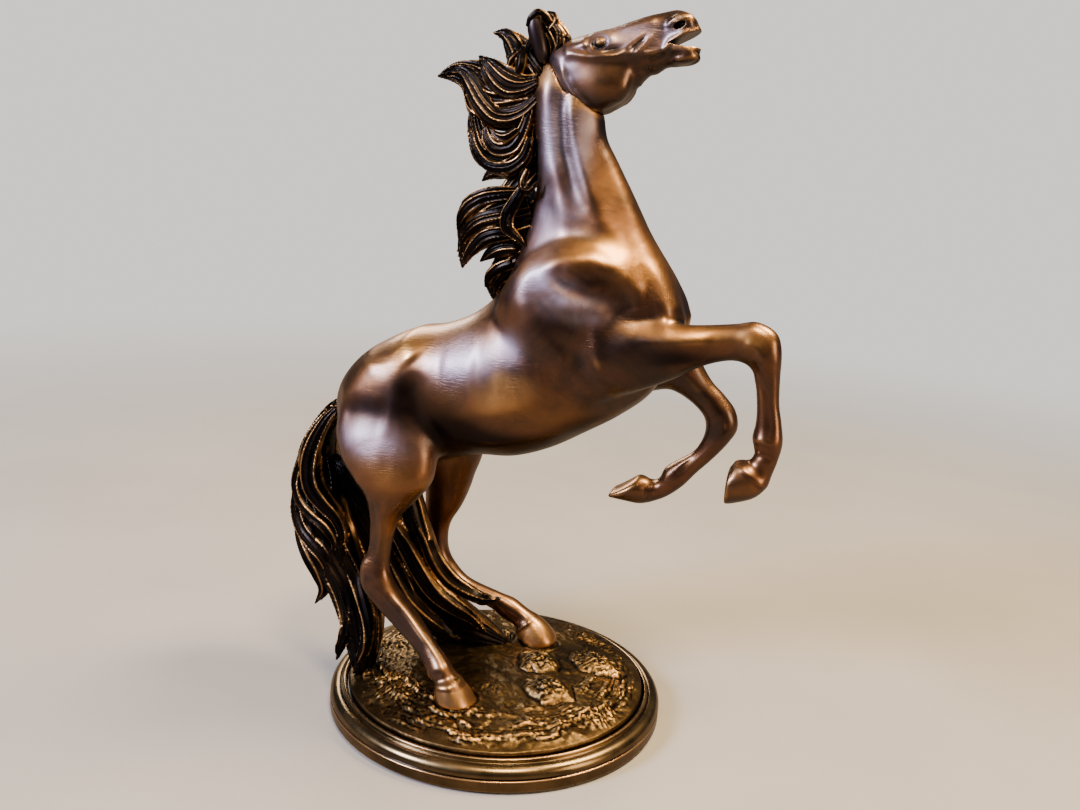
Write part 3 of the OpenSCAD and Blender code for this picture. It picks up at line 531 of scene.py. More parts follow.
def cut_off(mesh, cuts):
    """Cuts faces whose centre passes a cut's test on the side of its normal, and closes the cut."""
    bm = bmesh.new()
    bm.from_mesh(mesh)
    for point, normal, test in cuts:
        part = [f for f in bm.faces if not test or test(f.calc_center_median() / MM)]
        geom = {item for f in part for item in (f, *f.edges, *f.verts)}
        cut = bmesh.ops.bisect_plane(bm, geom=list(geom), dist=1e-7, plane_co=point * MM, plane_no=normal,
                                     clear_outer=True)
        rim = [e for e in cut["geom_cut"] if isinstance(e, bmesh.types.BMEdge) and e.is_boundary]
        bmesh.ops.holes_fill(bm, edges=rim, sides=0)
        for e in rim:
            e.smooth = False
    bm.normal_update()
    bm.to_mesh(mesh)
    bm.free()


def make_piece(name, verts, faces, material, node, slot, layers, cuts=()):
    """Object of a mesh in millimetres, with vertex attributes, in place of a node."""
    mesh = bpy.data.meshes.new(name)
    mesh.from_pydata((verts * MM).tolist(), [], faces)
    for key, value in layers.items():
        layer = mesh.attributes.new(key, "FLOAT", "POINT")
        layer.data.foreach_set("value", np.clip(value, 0, 1).astype(np.float32))
    if cuts:
        cut_off(mesh, cuts)
    mesh.shade_smooth()
    mesh.materials.append(material)
    piece = bpy.data.objects.new(name, mesh)
    bpy.context.scene.collection.objects.link(piece)
    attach(piece, "root")
    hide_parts(node)
    return mesh


def bend(grid, verts, reach, gain):
    """How far the skin bulges out, against its average over a reach."""
    at = (verts - grid.lo) / grid.step
    near = np.clip(grid.d, -2 * reach, 2 * reach)
    return (sample(grid.blurred(reach), at) - sample(near, at)) * gain / reach


def make_skin(name, node, grid, reach, gain, cuts=(), hoof=None):
    """Piece of the body: rubbed, with a painted highlight, on its crests, rubbed on its hooves, dark in its
    grooves, tinted by the patina and by painted highlights and shade.
    """
    verts, faces = skin(grid)
    bulge = bend(grid, verts, reach, gain)
    rub_and_highlight = np.clip(bulge, 0, 1)
    if hoof:
        point, normal, rub = hoof
        rub_and_highlight = np.maximum(rub_and_highlight, rub * np.clip((verts - np.array(point)) @ np.array(normal) / 1.2, 0, 1))
    layers = {"rub_and_highlight": rub_and_highlight, "hollow": -bulge, "dark_patina_and_shade": 0, "gold_rub_and_highlight": 0, "violet_patina_and_highlight": 0}
    for x, z, reach_x, reach_z, tint, amount in PATINA:
        far = ((verts[:, 0] - x) / reach_x) ** 2 + ((verts[:, 2] - z) / reach_z) ** 2
        layers[tint] = layers[tint] + amount * np.exp(-far)
    make_piece(name, verts, faces.tolist(), BODY, node, "body_bronze", layers, cuts)


# ---------------------------------------------------------------- materials
def fill(tree, node, inputs):
    """Sets a node's inputs by name or number: links an output, or sets a value that is not None."""
    for key, value in inputs.items():
        socket = node.inputs[key]
        if isinstance(value, bpy.types.NodeSocket):
            tree.links.new(value, socket)
        elif value is not None:
            socket.default_value = (*value, 1.0) if socket.type == "RGBA" else value
    return node


class Shader:
    """A material built up from layers of colour."""

    def __init__(self, name):
        self.material = bpy.data.materials.new(name)
        self.material.use_nodes = True
        self.tree = self.material.node_tree
        self.place = self.node("TexCoord").outputs["Object"]

    def node(self, kind, inputs={}):
        return fill(self.tree, self.tree.nodes.new("ShaderNode" + kind), inputs)

    def noise(self, scale, detail=4.0, rough=0.55, warp=0.0, stretch=(1, 1, 1)):
        vector = self.place
        if stretch != (1, 1, 1):
            vector = self.node("Mapping", {"Vector": vector, "Scale": stretch}).outputs["Vector"]
        return self.node("TexNoise", {"Vector": vector, "Scale": scale, "Detail": detail, "Roughness": rough,
                                      "Distortion": warp}).outputs["Fac"]

    def ramp(self, fac, low, high, a=0.0, b=1.0):
        n = self.node("MapRange", {"Value": fac, "From Min": low, "From Max": high, "To Min": a, "To Max": b})
        n.interpolation_type = "SMOOTHSTEP"
        return n.outputs["Result"]

    def math(self, how, a, b):
        n = self.node("Math", {0: a, 1: b})
        n.operation = how
        return n.outputs[0]

    def times(self, a, b):
        return self.math("MULTIPLY", a, b)

    def mix(self, fac, a, b):
        n = self.node("Mix")
        n.data_type = "RGBA"
        return fill(self.tree, n, {0: fac, 6: a, 7: b}).outputs[2]

    def over(self, fac, colour):
        """Lays a colour over the base."""
        self.base = self.mix(fac, self.base, colour)

    def upward(self):
        """How far the surface faces up, from -1 to 1."""
        return self.node("SeparateXYZ", {0: self.node("NewGeometry").outputs["Normal"]}).outputs["Z"]

    def attribute(self, name):
        n = self.node("Attribute")
        n.attribute_name = name
        return n.outputs["Fac"]

    def bump(self, height, distance, strength, **after):
        return self.node("Bump", {"Height": height, "Strength": strength, "Distance": distance,
                                  **after}).outputs["Normal"]

    def finish(self, rough, normal, metal=1.0, **sockets):
        inputs = {"Base Color": self.base, "Metallic": metal, "Roughness": rough, "Normal": normal}
        inputs.update((key.replace("_", " "), value) for key, value in sockets.items())
        fill(self.tree, self.tree.nodes["Principled BSDF"], inputs)
        return self.material


def body_bronze():
    s = Shader("body_bronze")
    cloud, fine, up = s.noise(24, 5, 0.62, 0.8), s.noise(150, 5, 0.65), s.upward()
    violet_patina_and_highlight, dark_patina_and_shade = s.attribute("violet_patina_and_highlight"), s.attribute("dark_patina_and_shade")
    broken = s.ramp(s.noise(45, 5, 0.6, 0.8), 0.30, 0.62, 0.45, 1)
    s.base = s.mix(s.ramp(cloud, 0.34, 0.68), (0.052, 0.021, 0.011), (0.230, 0.083, 0.024))
    s.over(s.ramp(fine, 0.40, 0.75, 0, 0.30), (0.045, 0.020, 0.014))
    # violet: a pale patina laid where the highlights fall, bright and rough so that they spread: partly a
    # painted highlight
    s.over(s.times(violet_patina_and_highlight, broken), (0.400, 0.335, 0.420))
    # dark: dark patina round the eye, nostril and ear, and painted shade under the belly, in the groin, under
    # the forelegs and on the upper thigh; the coat is thinned there as well
    s.over(s.ramp(dark_patina_and_shade, 0, 0.9, 0, 0.97), (0.017, 0.010, 0.011))
    # painted warm light from above: surfaces that face up are lighter and more golden
    s.over(s.times(s.ramp(up, 0.15, 0.95, 0, 0.65), s.ramp(cloud, 0.25, 0.60, 0.45, 1)), (0.55, 0.270, 0.095))
    # gold from the table: rub, and a painted warm highlight and reflection
    s.over(s.times(s.attribute("gold_rub_and_highlight"), broken), (0.72, 0.330, 0.070))
    s.over(s.ramp(s.attribute("hollow"), 0.10, 0.60, 0, 0.88), (0.014, 0.008, 0.006))
    # gold on the convex crests: rub and a painted highlight
    gold_rub_and_highlight = s.times(s.ramp(s.attribute("rub_and_highlight"), 0.35, 0.95), s.ramp(cloud, 0.30, 0.62, 0.35, 1))
    s.over(gold_rub_and_highlight, (0.76, 0.39, 0.12))
    # painted shade: surfaces that face down are darkened almost to black
    s.over(s.ramp(up, -0.15, -0.80, 0, 0.94), (0.012, 0.006, 0.003))
    rough = s.math("ADD", s.ramp(fine, 0.3, 0.8, 0.33, 0.42), s.times(violet_patina_and_highlight, 0.20))
    normal = s.bump(s.noise(60, 4, 0.55), 0.0006, 0.25)
    brushed = s.times(s.noise(1, 3, 0.6, 0.3, (210, 900, 1300)), s.ramp(s.noise(32, 3), 0.46, 0.60))
    return s.finish(rough, s.bump(brushed, 0.0004, 0.5, Normal=normal), Coat_Roughness=0.27, Coat_IOR=1.7,
                    Coat_Weight=s.ramp(dark_patina_and_shade, 0, 1, 0.8, 0.15))


def hair_bronze():
    s = Shader("hair_bronze")
    cloud = s.noise(55, 4, 0.6)
    s.base = s.mix(s.ramp(cloud, 0.35, 0.7), (0.004, 0.003, 0.003), (0.016, 0.010, 0.007))
    gold_rub_and_highlight = s.times(s.ramp(s.attribute("rub_and_highlight"), 0.46, 0.78), s.ramp(cloud, 0.36, 0.62, 0.20, 1))
    # rub and painted highlight on the crests, stronger where the locks face up: painted light from above
    s.over(s.times(gold_rub_and_highlight, s.ramp(s.upward(), -0.85, 0.25, 0.25, 1)), (0.85, 0.47, 0.18))
    return s.finish(s.ramp(s.noise(210, 4), 0.3, 0.8, 0.30, 0.44), s.bump(s.noise(420, 3), 0.00005, 0.35),
                    Coat_Weight=0.12, Coat_Roughness=0.22)


def ground_bronze():
    s = Shader("ground_bronze")
    fine = s.noise(420, 5, 0.7)
    s.base = s.mix(s.ramp(s.noise(38, 5, 0.6), 0.3, 0.7), (0.068, 0.043, 0.016), (0.270, 0.164, 0.062))
    s.over(s.ramp(fine, 0.42, 0.62, 0, 0.55), (0.020, 0.014, 0.009))
    # darker in the hollows, and painted shade on the left side of the rocks
    s.over(s.ramp(s.attribute("hollow"), 0.08, 0.5, 0, 0.94), (0.008, 0.006, 0.004))
    gold_rub_and_highlight = s.times(s.ramp(s.attribute("rub_and_highlight"), 0.16, 0.62), s.ramp(fine, 0.36, 0.56, 0.3, 1))
    s.over(s.times(gold_rub_and_highlight, s.ramp(s.noise(60, 3), 0.38, 0.62, 0.15, 1)), (0.80, 0.44, 0.145))
    return s.finish(s.ramp(fine, 0.3, 0.8, 0.30, 0.52), s.bump(fine, 0.0003, 0.6))


def plinth_bronze():
    s = Shader("plinth_bronze")
    cloud = s.noise(30, 5, 0.6)
    s.base = s.mix(s.ramp(cloud, 0.3, 0.7), (0.075, 0.050, 0.022), (0.270, 0.175, 0.075))
    # painted light from above: surfaces that face up are lighter
    s.over(s.ramp(s.upward(), 0.2, 0.95, 0, 0.60), (0.40, 0.270, 0.130))
    s.over(s.ramp(s.attribute("rub_and_highlight"), 0.2, 0.8), (0.80, 0.47, 0.22))
    s.over(s.ramp(s.attribute("hollow"), 0.2, 0.8), (0.006, 0.004, 0.003))
    ring = s.noise(300, 3, 0.6, 0, (0.15, 0.15, 1))
    return s.finish(s.ramp(cloud, 0.3, 0.8, 0.22, 0.36), s.bump(ring, 0.00008, 0.3), Coat_Weight=0.35,
                    Coat_Roughness=0.15)


def fixing_brass():
    s = Shader("fixing_brass")
    s.base = s.mix(s.ramp(s.noise(300, 4), 0.3, 0.7), (0.50, 0.35, 0.14), (0.78, 0.58, 0.28))
    turned = s.noise(900, 2, 0.5, 0, (0.1, 0.1, 1))
    return s.finish(s.ramp(s.noise(500, 3), 0.3, 0.8, 0.25, 0.4), s.bump(turned, 0.00005, 0.4))


def green_felt():
    s = Shader("felt")
    fluff = s.noise(1500, 6, 0.7)
    s.base = s.mix(s.ramp(fluff, 0.3, 0.7), (0.010, 0.035, 0.018), (0.030, 0.085, 0.045))
    return s.finish(0.95, s.bump(fluff, 0.0004, 0.8), metal=0.0, Sheen_Weight=0.5)


BODY, HAIR, GROUND, PLINTH = body_bronze(), hair_bronze(), ground_bronze(), plinth_bronze()
BRASS, FELT = fixing_brass(), green_felt()


# ---------------------------------------------------------------- camera, floor and light
# Camera: a little right of the horse's side, above it and looking down. Angles in degrees.
CAMERA_AT, TURN, DOWN, ROLL = (136.0, -428.7, 252.6), 16, 12.9, 3.8
LENS, SENSOR = 33.33, 36.0
# Lights: (name, place from the statue's middle and size in metres, watts, colour).
AIM = Vector((0, 0, 0.03))
LIGHTS = [
    ("key", (-0.80, -0.84, 0.66), (0.40, 0.50), 27, (0.78, 0.79, 1.0)),
    ("warm", (0.55, 0.25, 0.95), (0.42, 0.42), 22, (1.0, 0.74, 0.42)),
    ("top", (0.30, -0.44, 1.0), (0.30, 0.30), 13, (1.0, 0.76, 0.46)),
    ("front", (1.05, -0.30, 0.25), (0.40, 0.60), 5, (1.0, 0.70, 0.42)),
    ("back", (-0.70, 0.80, 0.70), (0.50, 0.70), 7, (1.0, 0.88, 0.74)),
]
FLOOR_HALF, FLOOR_DROP = 3.0, 0.0002


def place_camera():
    camera = bpy.data.objects.new("camera", bpy.data.cameras.new("camera"))
    camera.data.sensor_width, camera.data.lens, camera.data.clip_start = SENSOR, LENS, 0.01
    camera.matrix_world = Matrix.Translation(Vector(CAMERA_AT) * MM)
    for angle, axis in ((TURN, "Z"), (90 - DOWN, "X"), (ROLL, "Z")):
        camera.matrix_world @= Matrix.Rotation(math.radians(angle), 4, axis)
    bpy.context.scene.collection.objects.link(camera)
    bpy.context.scene.camera = camera


def place_lights():
    centre = (cad_box[0] + cad_box[1]) / 2
    for name, place, size, power, colour in LIGHTS:
        light = bpy.data.lights.new(name, "AREA")
        light.shape, light.size, light.size_y = "ELLIPSE", *size
        light.energy, light.color = power, colour
        lamp = bpy.data.objects.new(name, light)
        lamp.location = centre + Vector(place)
        lamp.rotation_mode = "QUATERNION"
        lamp.rotation_quaternion = (AIM - Vector(place)).to_track_quat("-Z", "Y")
        bpy.context.scene.collection.objects.link(lamp)


def place_floor():
    """Pale floor that fades into the background, and is a dim warm glow in the bronze."""
    s = Shader("floor")
    reflected = s.node("LightPath").outputs["Is Glossy Ray"]
    s.base = s.mix(s.ramp(s.noise(6, 3), 0.3, 0.7), (0.44, 0.415, 0.38), (0.48, 0.455, 0.42))
    s.over(reflected, (0.004, 0.003, 0.002))
    away = s.node("VectorMath", {"Vector": s.place})
    away.operation = "LENGTH"
    fade = s.ramp(away.outputs["Value"], 0.30, 1.30, 1, 0)
    s.finish(0.8, None, metal=0.0, Emission_Color=(0.40, 0.27, 0.175),
             Emission_Strength=s.times(reflected, 0.8), Alpha=s.math("MAXIMUM", fade, reflected))
    mesh = bpy.data.meshes.new("floor")
    corners = [(x * FLOOR_HALF, y * FLOOR_HALF, 0) for x, y in ((-1, -1), (1, -1), (1, 1), (-1, 1))]
    mesh.from_pydata(corners, [], [range(4)])
    mesh.materials.append(s.material)
    floor = bpy.data.objects.new("floor", mesh)
    floor.location.z = cad_box[0].z - FLOOR_DROP
    bpy.context.scene.collection.objects.link(floor)


def place_world():
    """A pale backdrop for the camera, and a dim sky for the lighting."""
    world = bpy.data.worlds.new("studio")
    bpy.context.scene.world = world
    world.use_nodes = True
    tree = world.node_tree
    ray, lit, mix = (tree.nodes.new("ShaderNode" + kind) for kind in ("LightPath", "Background", "MixShader"))
    seen = fill(tree, tree.nodes["Background"], {"Color": (0.640, 0.605, 0.565), "Strength": 1.75})
    fill(tree, lit, {"Color": (0.30, 0.34, 0.38), "Strength": 0.12})
    fill(tree, mix, {"Fac": ray.outputs["Is Camera Ray"], 1: lit.outputs[0], 2: seen.outputs[0]})
    fill(tree, tree.nodes["World Output"], {"Surface": mix.outputs[0]})


# ---------------------------------------------------------------- pieces of the body
# Limbs: (node, chords, blend, corners of the grid, chord at the coronet, rub of the hoof).
LIMBS = [
    ("right_foreleg", RIGHT_FORELEG, 3.5, [82, -30, 116], [128, -6, 206], 16, 0.50),
    ("left_foreleg", LEFT_FORELEG, 3.5, [42, 7, 102], [106, 30, 172], 14, 0.50),
    ("right_hind_leg", RIGHT_HIND_LEG, 5, [-66, -56, 18], [8, -10, 110], 17, 0.75),
    ("left_hind_leg", LEFT_HIND_LEG, 5, [-60, 8, 20], [28, 36, 102], 15, 0.75),
]
NECK_PLANE = chord_plane(TRUNK[14])
LEG_CUT = 5  # chord where a limb is joined to the body
REACH_OF_CUT = 30


def make_torso():
    grid = Grid([-92, -42, 92], [92, 42, 252], 0.85)
    horse(grid)
    cuts = [(*NECK_PLANE, None)]
    for _, leg, *_ in LIMBS:
        p, normal = chord_plane(leg[LEG_CUT])
        side = math.copysign(1, leg[0][4])
        cuts.append((p, normal, lambda c, p=p, side=side: (c - p).length < REACH_OF_CUT and c.y * side > 2))
    make_skin("torso_skin", "torso_casting", grid, 2.6, 3.0, cuts)


def make_neck():
    grid = Grid([-4, -24, 216], [70, 24, 302], 0.7)
    horse(grid)
    grid.remove(Loft(HEAD, POWER), 0.05)
    point, normal = NECK_PLANE
    make_skin("neck_skin", "neck_casting", grid, 2.4, 3.0, [(point, -normal, None)])


def make_head():
    grid = Grid([0, -18, 274], [76, 18, 326], 0.42)
    grid.add(Loft(HEAD, POWER))
    for side in (-1, 1):
        grid.add(Ball((32, 6.2 * side, 291.2), (13.2, 7.4, 10.4), 8), 2.0)
        grid.add(Ball((65.5, 3.4 * side, 303), (5.4, 3.8, 2.6), 8), 1.5)
        grid.add(Ball((63.5, 4.0 * side, 315.6), (5.2, 3.8, 4.2), 20), 1.5)
    for stroke in HEAD_STROKES:
        grid.stroke(*stroke)
    grid.soften()
    grid.slot(MOUTH)
    for side in (-1, 1):
        # eye socket, eye and nostril
        grid.remove(Ball((31.2, 12.6 * side, 306.8), (4.2, 2.8, 2.8), 8))
        grid.add(Ball((31.4, 9.2 * side, 306.8), (2.9, 2.8, 2.3), 8), 0.2)
        grid.remove(Ball((62.6, 7.8 * side, 314.9), (2.7, 3.0, 1.3), 24))
    make_skin("head_skin", "head_casting", grid, 1.2, 2.2)


def make_limb(node, leg, blend, lo, hi, coronet, rub):
    grid = Grid(lo, hi, 0.55)
    horse(grid)
    point, normal = chord_plane(leg[LEG_CUT])
    hoof = (*chord_plane(leg[coronet], 0.5), rub)
    make_skin(node + "_skin", node, grid, 1.6, 2.0, [(point, -normal, None)], hoof)


def make_ear(node, side):
    ear, hollow = (EAR, EAR_HOLLOW) if side < 0 else (mirrored(EAR), mirrored(EAR_HOLLOW))
    near, far = sorted((side, 13 * side))
    grid = Grid([-4, near, 296], [15, far, 322], 0.34)
    grid.add(Loft(ear))
    grid.remove(Loft(hollow))
    for chords in (HEAD, TRUNK):
        grid.remove(Loft(chords, POWER), 0.02)
    make_skin(node + "_skin", node, grid, 0.8, 1.6)


# ---------------------------------------------------------------- hair
# Locks along a path: (ridges across half the lock, height of the ridges, [points]). A point is
# (x, z, half width, y, half thickness).
CREST_LOCKS = [
    (3.6, 1.1, [(6, 287, 11, -1, 6.5), (-4, 285, 12, -1.5, 6.5), (-13, 284.5, 13.5, -2, 6),
        (-21, 287.5, 12.5, -2, 5), (-27, 292.5, 8, -2, 4.2), (-33, 293.8, 5.2, -2, 3.2),
        (-38.5, 293.2, 2.8, -2, 2), (-43, 292, 0.4, -2, 0.5)]),
    (3, 0.9, [(5, 291, 3, -7, 3), (-1, 289, 5, -7, 3.2), (-7.5, 289.5, 7.2, -7, 3.2),
        (-13.5, 292.5, 6.4, -6.6, 3), (-18.5, 297, 4, -6, 2.4), (-23, 301, 0.5, -5, 0.6)]),
    (2, 0.9, [(6, 285, 3, -6.5, 2.6), (0, 279, 4, -7, 3), (-7, 275.5, 5, -7, 3), (-14, 276, 5, -7, 3),
        (-20, 281.5, 5, -6.4, 2.8), (-25, 289, 4.4, -5.6, 2.4), (-30, 294, 3, -4.8, 1.8),
        (-36, 293.8, 1.6, -4, 1.2), (-42, 292.3, 0.4, -3, 0.5)]),
    (3, 1, [(6, 287, 10, 5, 4), (-5, 284, 11, 5, 4), (-15, 285, 11, 4.6, 3.6), (-23, 289.5, 8, 4, 3),
        (-30, 293, 5, 3, 2.4), (-36, 294, 3, 2, 1.6), (-41, 292.6, 0.5, 0.6, 0.6)]),
    (2, 0.7, [(-4, 297, 3, -4, 3), (-6.5, 302, 4.4, -4, 3.2), (-9, 307, 4.2, -4, 2.8),
        (-12.5, 310.2, 2.6, -4, 2), (-17.5, 310.6, 0.4, -4, 0.5)]),
    (1, 0.5, [(-1.5, 305, 1.8, -5, 2), (-3, 301, 2.4, -6, 2.4), (-3, 297, 2.4, -7, 2.4),
        (-4.5, 293.6, 1.8, -7, 1.8)]),
    (1, 0.4, [(-5, 303, 1.6, -6, 1.6), (-7.5, 300, 1.8, -6.6, 1.8), (-8.5, 297, 1.4, -6.6, 1.4)]),
    (2, 0.8, [(8, 291, 3, -1, 7), (4, 296, 4, -1, 7), (0.6, 300.4, 4, -1, 6), (-1.6, 304.6, 2.6, -1.6, 4.4),
        (-2.6, 308.6, 0.5, -2, 1)]),
    (2, 0.7, [(-2, 297, 3, 4, 3), (-5, 303, 4, 4.5, 3), (-8, 308, 3.4, 4, 2.4), (-13, 310.6, 1.8, 3, 1.6),
        (-17, 309.4, 0.4, 2, 0.5)]),
]
UPPER_LOCKS = [
    (3.4, 1.1, [(4, 286, 3, -3, 6), (0.5, 274, 5, -2, 6), (-3, 264, 7.5, -2, 6.2), (-10, 260, 9, -2, 6.2),
        (-18, 262.5, 8, -2, 5.6), (-22.5, 270, 5.4, -2, 4.6), (-24.5, 278, 3, -2, 3),
        (-25, 284.5, 0.6, -2, 0.8)]),
    (1.6, 0.9, [(3, 282, 2, -7, 2.6), (0, 272, 3, -7.4, 3), (-5, 264.5, 4, -7.6, 3.2),
        (-12, 263, 4, -7.4, 3), (-16.5, 267, 2.8, -7, 2.4), (-18, 273.5, 0.5, -6.6, 0.8)]),
    (1, 0.6, [(-2, 271, 2, -9, 2), (-7, 267.6, 2.6, -9.4, 2.2), (-12, 268, 2, -9, 1.8),
        (-15, 271, 0.5, -8.6, 0.6)]),
    (1.2, 0.7, [(3.5, 268, 1.6, -8, 2.4), (1.5, 260, 2.6, -8, 2.8), (-4, 255, 3, -8, 3),
        (-11, 254.4, 2.8, -7.6, 2.8), (-17, 256.6, 2.4, -7, 2.4), (-22, 262, 1.8, -6.4, 2),
        (-25.5, 270, 0.5, -5.6, 0.8)]),
    (2, 0.8, [(2, 262, 5, 0, 4.6), (-5, 256.5, 5, 0, 4.6), (-12, 253.4, 3.6, 0, 4),
        (-17, 251.4, 2.2, -1, 2.6), (-20, 248.4, 0.4, -1.6, 0.6)]),
    (2.6, 1, [(3, 272, 9, 5, 4), (-6, 264, 9, 5, 4), (-15, 262, 8, 4.6, 3.6), (-22, 267, 5.4, 4, 3),
        (-25.5, 275, 3, 3, 2), (-26, 282, 0.5, 2, 0.8)]),
]
MIDDLE_LOCKS = [
    (5, 1, [(5, 238, 13, -2, 6.5), (-4, 235, 14, -2.5, 6.8), (-13, 231.5, 13.5, -3, 6.2),
        (-20.5, 227, 10.5, -3, 5), (-24.5, 220.5, 5.6, -3, 3.8), (-26, 214.5, 3, -3, 2.4),
        (-26.8, 209.6, 0.4, -3, 0.6)]),
    (1.8, 0.8, [(0, 244, 3, -7.6, 2.4), (-8, 243.5, 3.6, -8, 2.8), (-16, 242, 4, -8, 2.8),
        (-22.5, 238, 4, -7.6, 2.6), (-26.5, 232.5, 3, -7, 2.2), (-28.6, 226.5, 0.6, -6.4, 0.8)]),
    (1.8, 0.8, [(-1, 236, 3, -8, 2.6), (-9, 234.5, 3.6, -8.4, 2.8), (-17, 231.5, 3.6, -8.2, 2.6),
        (-23, 226.5, 2.8, -7.6, 2.2), (-27, 220.5, 0.6, -7, 0.8)]),
    (1.8, 0.8, [(-1, 228, 3, -8, 2.6), (-9, 226.6, 3.8, -8.4, 2.8), (-16, 223.6, 3.8, -8, 2.6),
        (-21.5, 218, 2.8, -7.4, 2.2), (-26, 211.6, 0.5, -6.4, 0.8)]),
    (1.6, 0.7, [(0, 221, 3, -8, 2.6), (-7, 220, 3.4, -8, 2.6), (-12.5, 217.4, 2.6, -7.6, 2.2),
        (-17, 213.6, 0.5, -7, 0.8)]),
    (1.4, 0.7, [(3, 248, 1.6, -11.4, 2), (-0.6, 241.5, 2.6, -11.6, 2.4), (-3.6, 235.5, 3, -11.8, 2.4),
        (-3.4, 230, 2.8, -12, 2.4), (0, 227, 2, -12, 2), (3, 224.8, 1.2, -12.4, 1.4),
        (5.6, 222.4, 0.4, -12.6, 0.6)]),
    (0.8, 0.4, [(4, 255, 1.6, -13, 1.8), (2.6, 250.4, 2, -13.6, 2), (3.4, 247, 1.8, -14, 2),
        (6.6, 246.8, 1.4, -14, 1.6), (9.6, 250.6, 0.4, -14, 0.6)]),
    (2.4, 0.8, [(9, 262, 4, 0, 4), (4, 256, 6, 0, 4.4), (-2, 249, 6.6, -1, 4.6), (-8, 243, 5, -2, 4)]),
    (3.4, 1, [(5, 239, 12, 4.4, 4), (-6, 235, 12, 4.6, 4.2), (-15, 230, 11, 4, 3.6), (-22, 223.6, 7, 3, 3),
        (-26, 216.6, 3, 2, 2), (-28, 211.4, 0.5, 1, 0.8)]),
]
LOWER_LOCKS = [
    (2.8, 0.9, [(5, 220, 8, -2, 5.4), (-3.5, 215, 7.6, -2, 5.4), (-9, 209, 5.4, -2.4, 4.4),
        (-12, 203.6, 3.6, -2.6, 3.2), (-11, 196.2, 0.5, -2.6, 0.8)]),
    (1, 0.6, [(-2, 214, 2.4, -7, 2.4), (-8, 211.6, 2.6, -7, 2.4), (-12.6, 207.6, 2, -6.6, 2),
        (-14.2, 202.4, 0.5, -6, 0.8)]),
    (2, 0.8, [(4, 218, 6, 4, 3.6), (-4, 212.6, 5.6, 4, 3.6), (-9, 206, 3.6, 3, 2.6),
        (-11, 199, 0.5, 1, 0.8)]),
]
FORELOCK_LOCKS = [
    (3, 1, [(10.6, 301.6, 6, 0, 6.4), (10.4, 306, 6.6, -0.6, 6.6), (8.4, 310.6, 6.4, -1.2, 6),
        (5.6, 314.6, 4.6, -1.8, 4.6), (2.4, 317.6, 1, -2.2, 1.4)]),
    (1.4, 0.6, [(16.4, 303.6, 1.2, -3, 2), (16, 307, 1.9, -3.6, 2.4), (13.6, 311, 2, -4, 2.2),
        (10.4, 314.4, 1.5, -4.2, 1.8), (6.6, 316.6, 0.4, -4, 0.6)]),
    (1.4, 0.6, [(11.4, 302.4, 1.4, -6, 1.6), (13.4, 306.4, 1.8, -6.6, 1.9), (12.6, 310.8, 1.7, -6.8, 1.9),
        (9.6, 314.2, 1.5, -6.4, 1.7), (7.4, 317.4, 1.2, -5.8, 1.4), (4.2, 319, 0.4, -5.4, 0.6)]),
    (1, 0.5, [(15.6, 303, 1.2, -5.2, 1.6), (16.8, 306.2, 1.6, -5.4, 1.8), (15.8, 309.2, 1.4, -5.6, 1.6),
        (13.8, 308.2, 1, -7, 1.2), (14, 306, 0.4, -7.4, 0.6)]),
    (1, 0.5, [(8.6, 312, 1.3, -7, 1.5), (10.8, 315.2, 1.5, -6.4, 1.6), (9.6, 318, 1.2, -5.4, 1.4),
        (6.2, 319.4, 0.4, -4.6, 0.6)]),
    (1, 0.5, [(-0.4, 312.4, 1, -9.6, 1.2), (1.2, 316, 1.5, -10.2, 1.5), (4.2, 318.2, 1.5, -10.2, 1.5),
        (7, 317, 1.3, -9.4, 1.4), (8.6, 314.6, 1, -8, 1.3)]),
    (2, 0.7, [(12, 303.6, 3, 3, 3.6), (12, 309, 3, 3.4, 3.6), (8.6, 314, 2.2, 3, 2.6),
        (4.4, 316.6, 0.5, 2.4, 0.8)]),
    (1.6, 0.6, [(-1.6, 302, 2.4, -3, 3), (0.6, 307, 2.6, -3.6, 3), (1.4, 312, 2, -4, 2.4),
        (0, 316, 0.5, -4.4, 0.8)]),
]
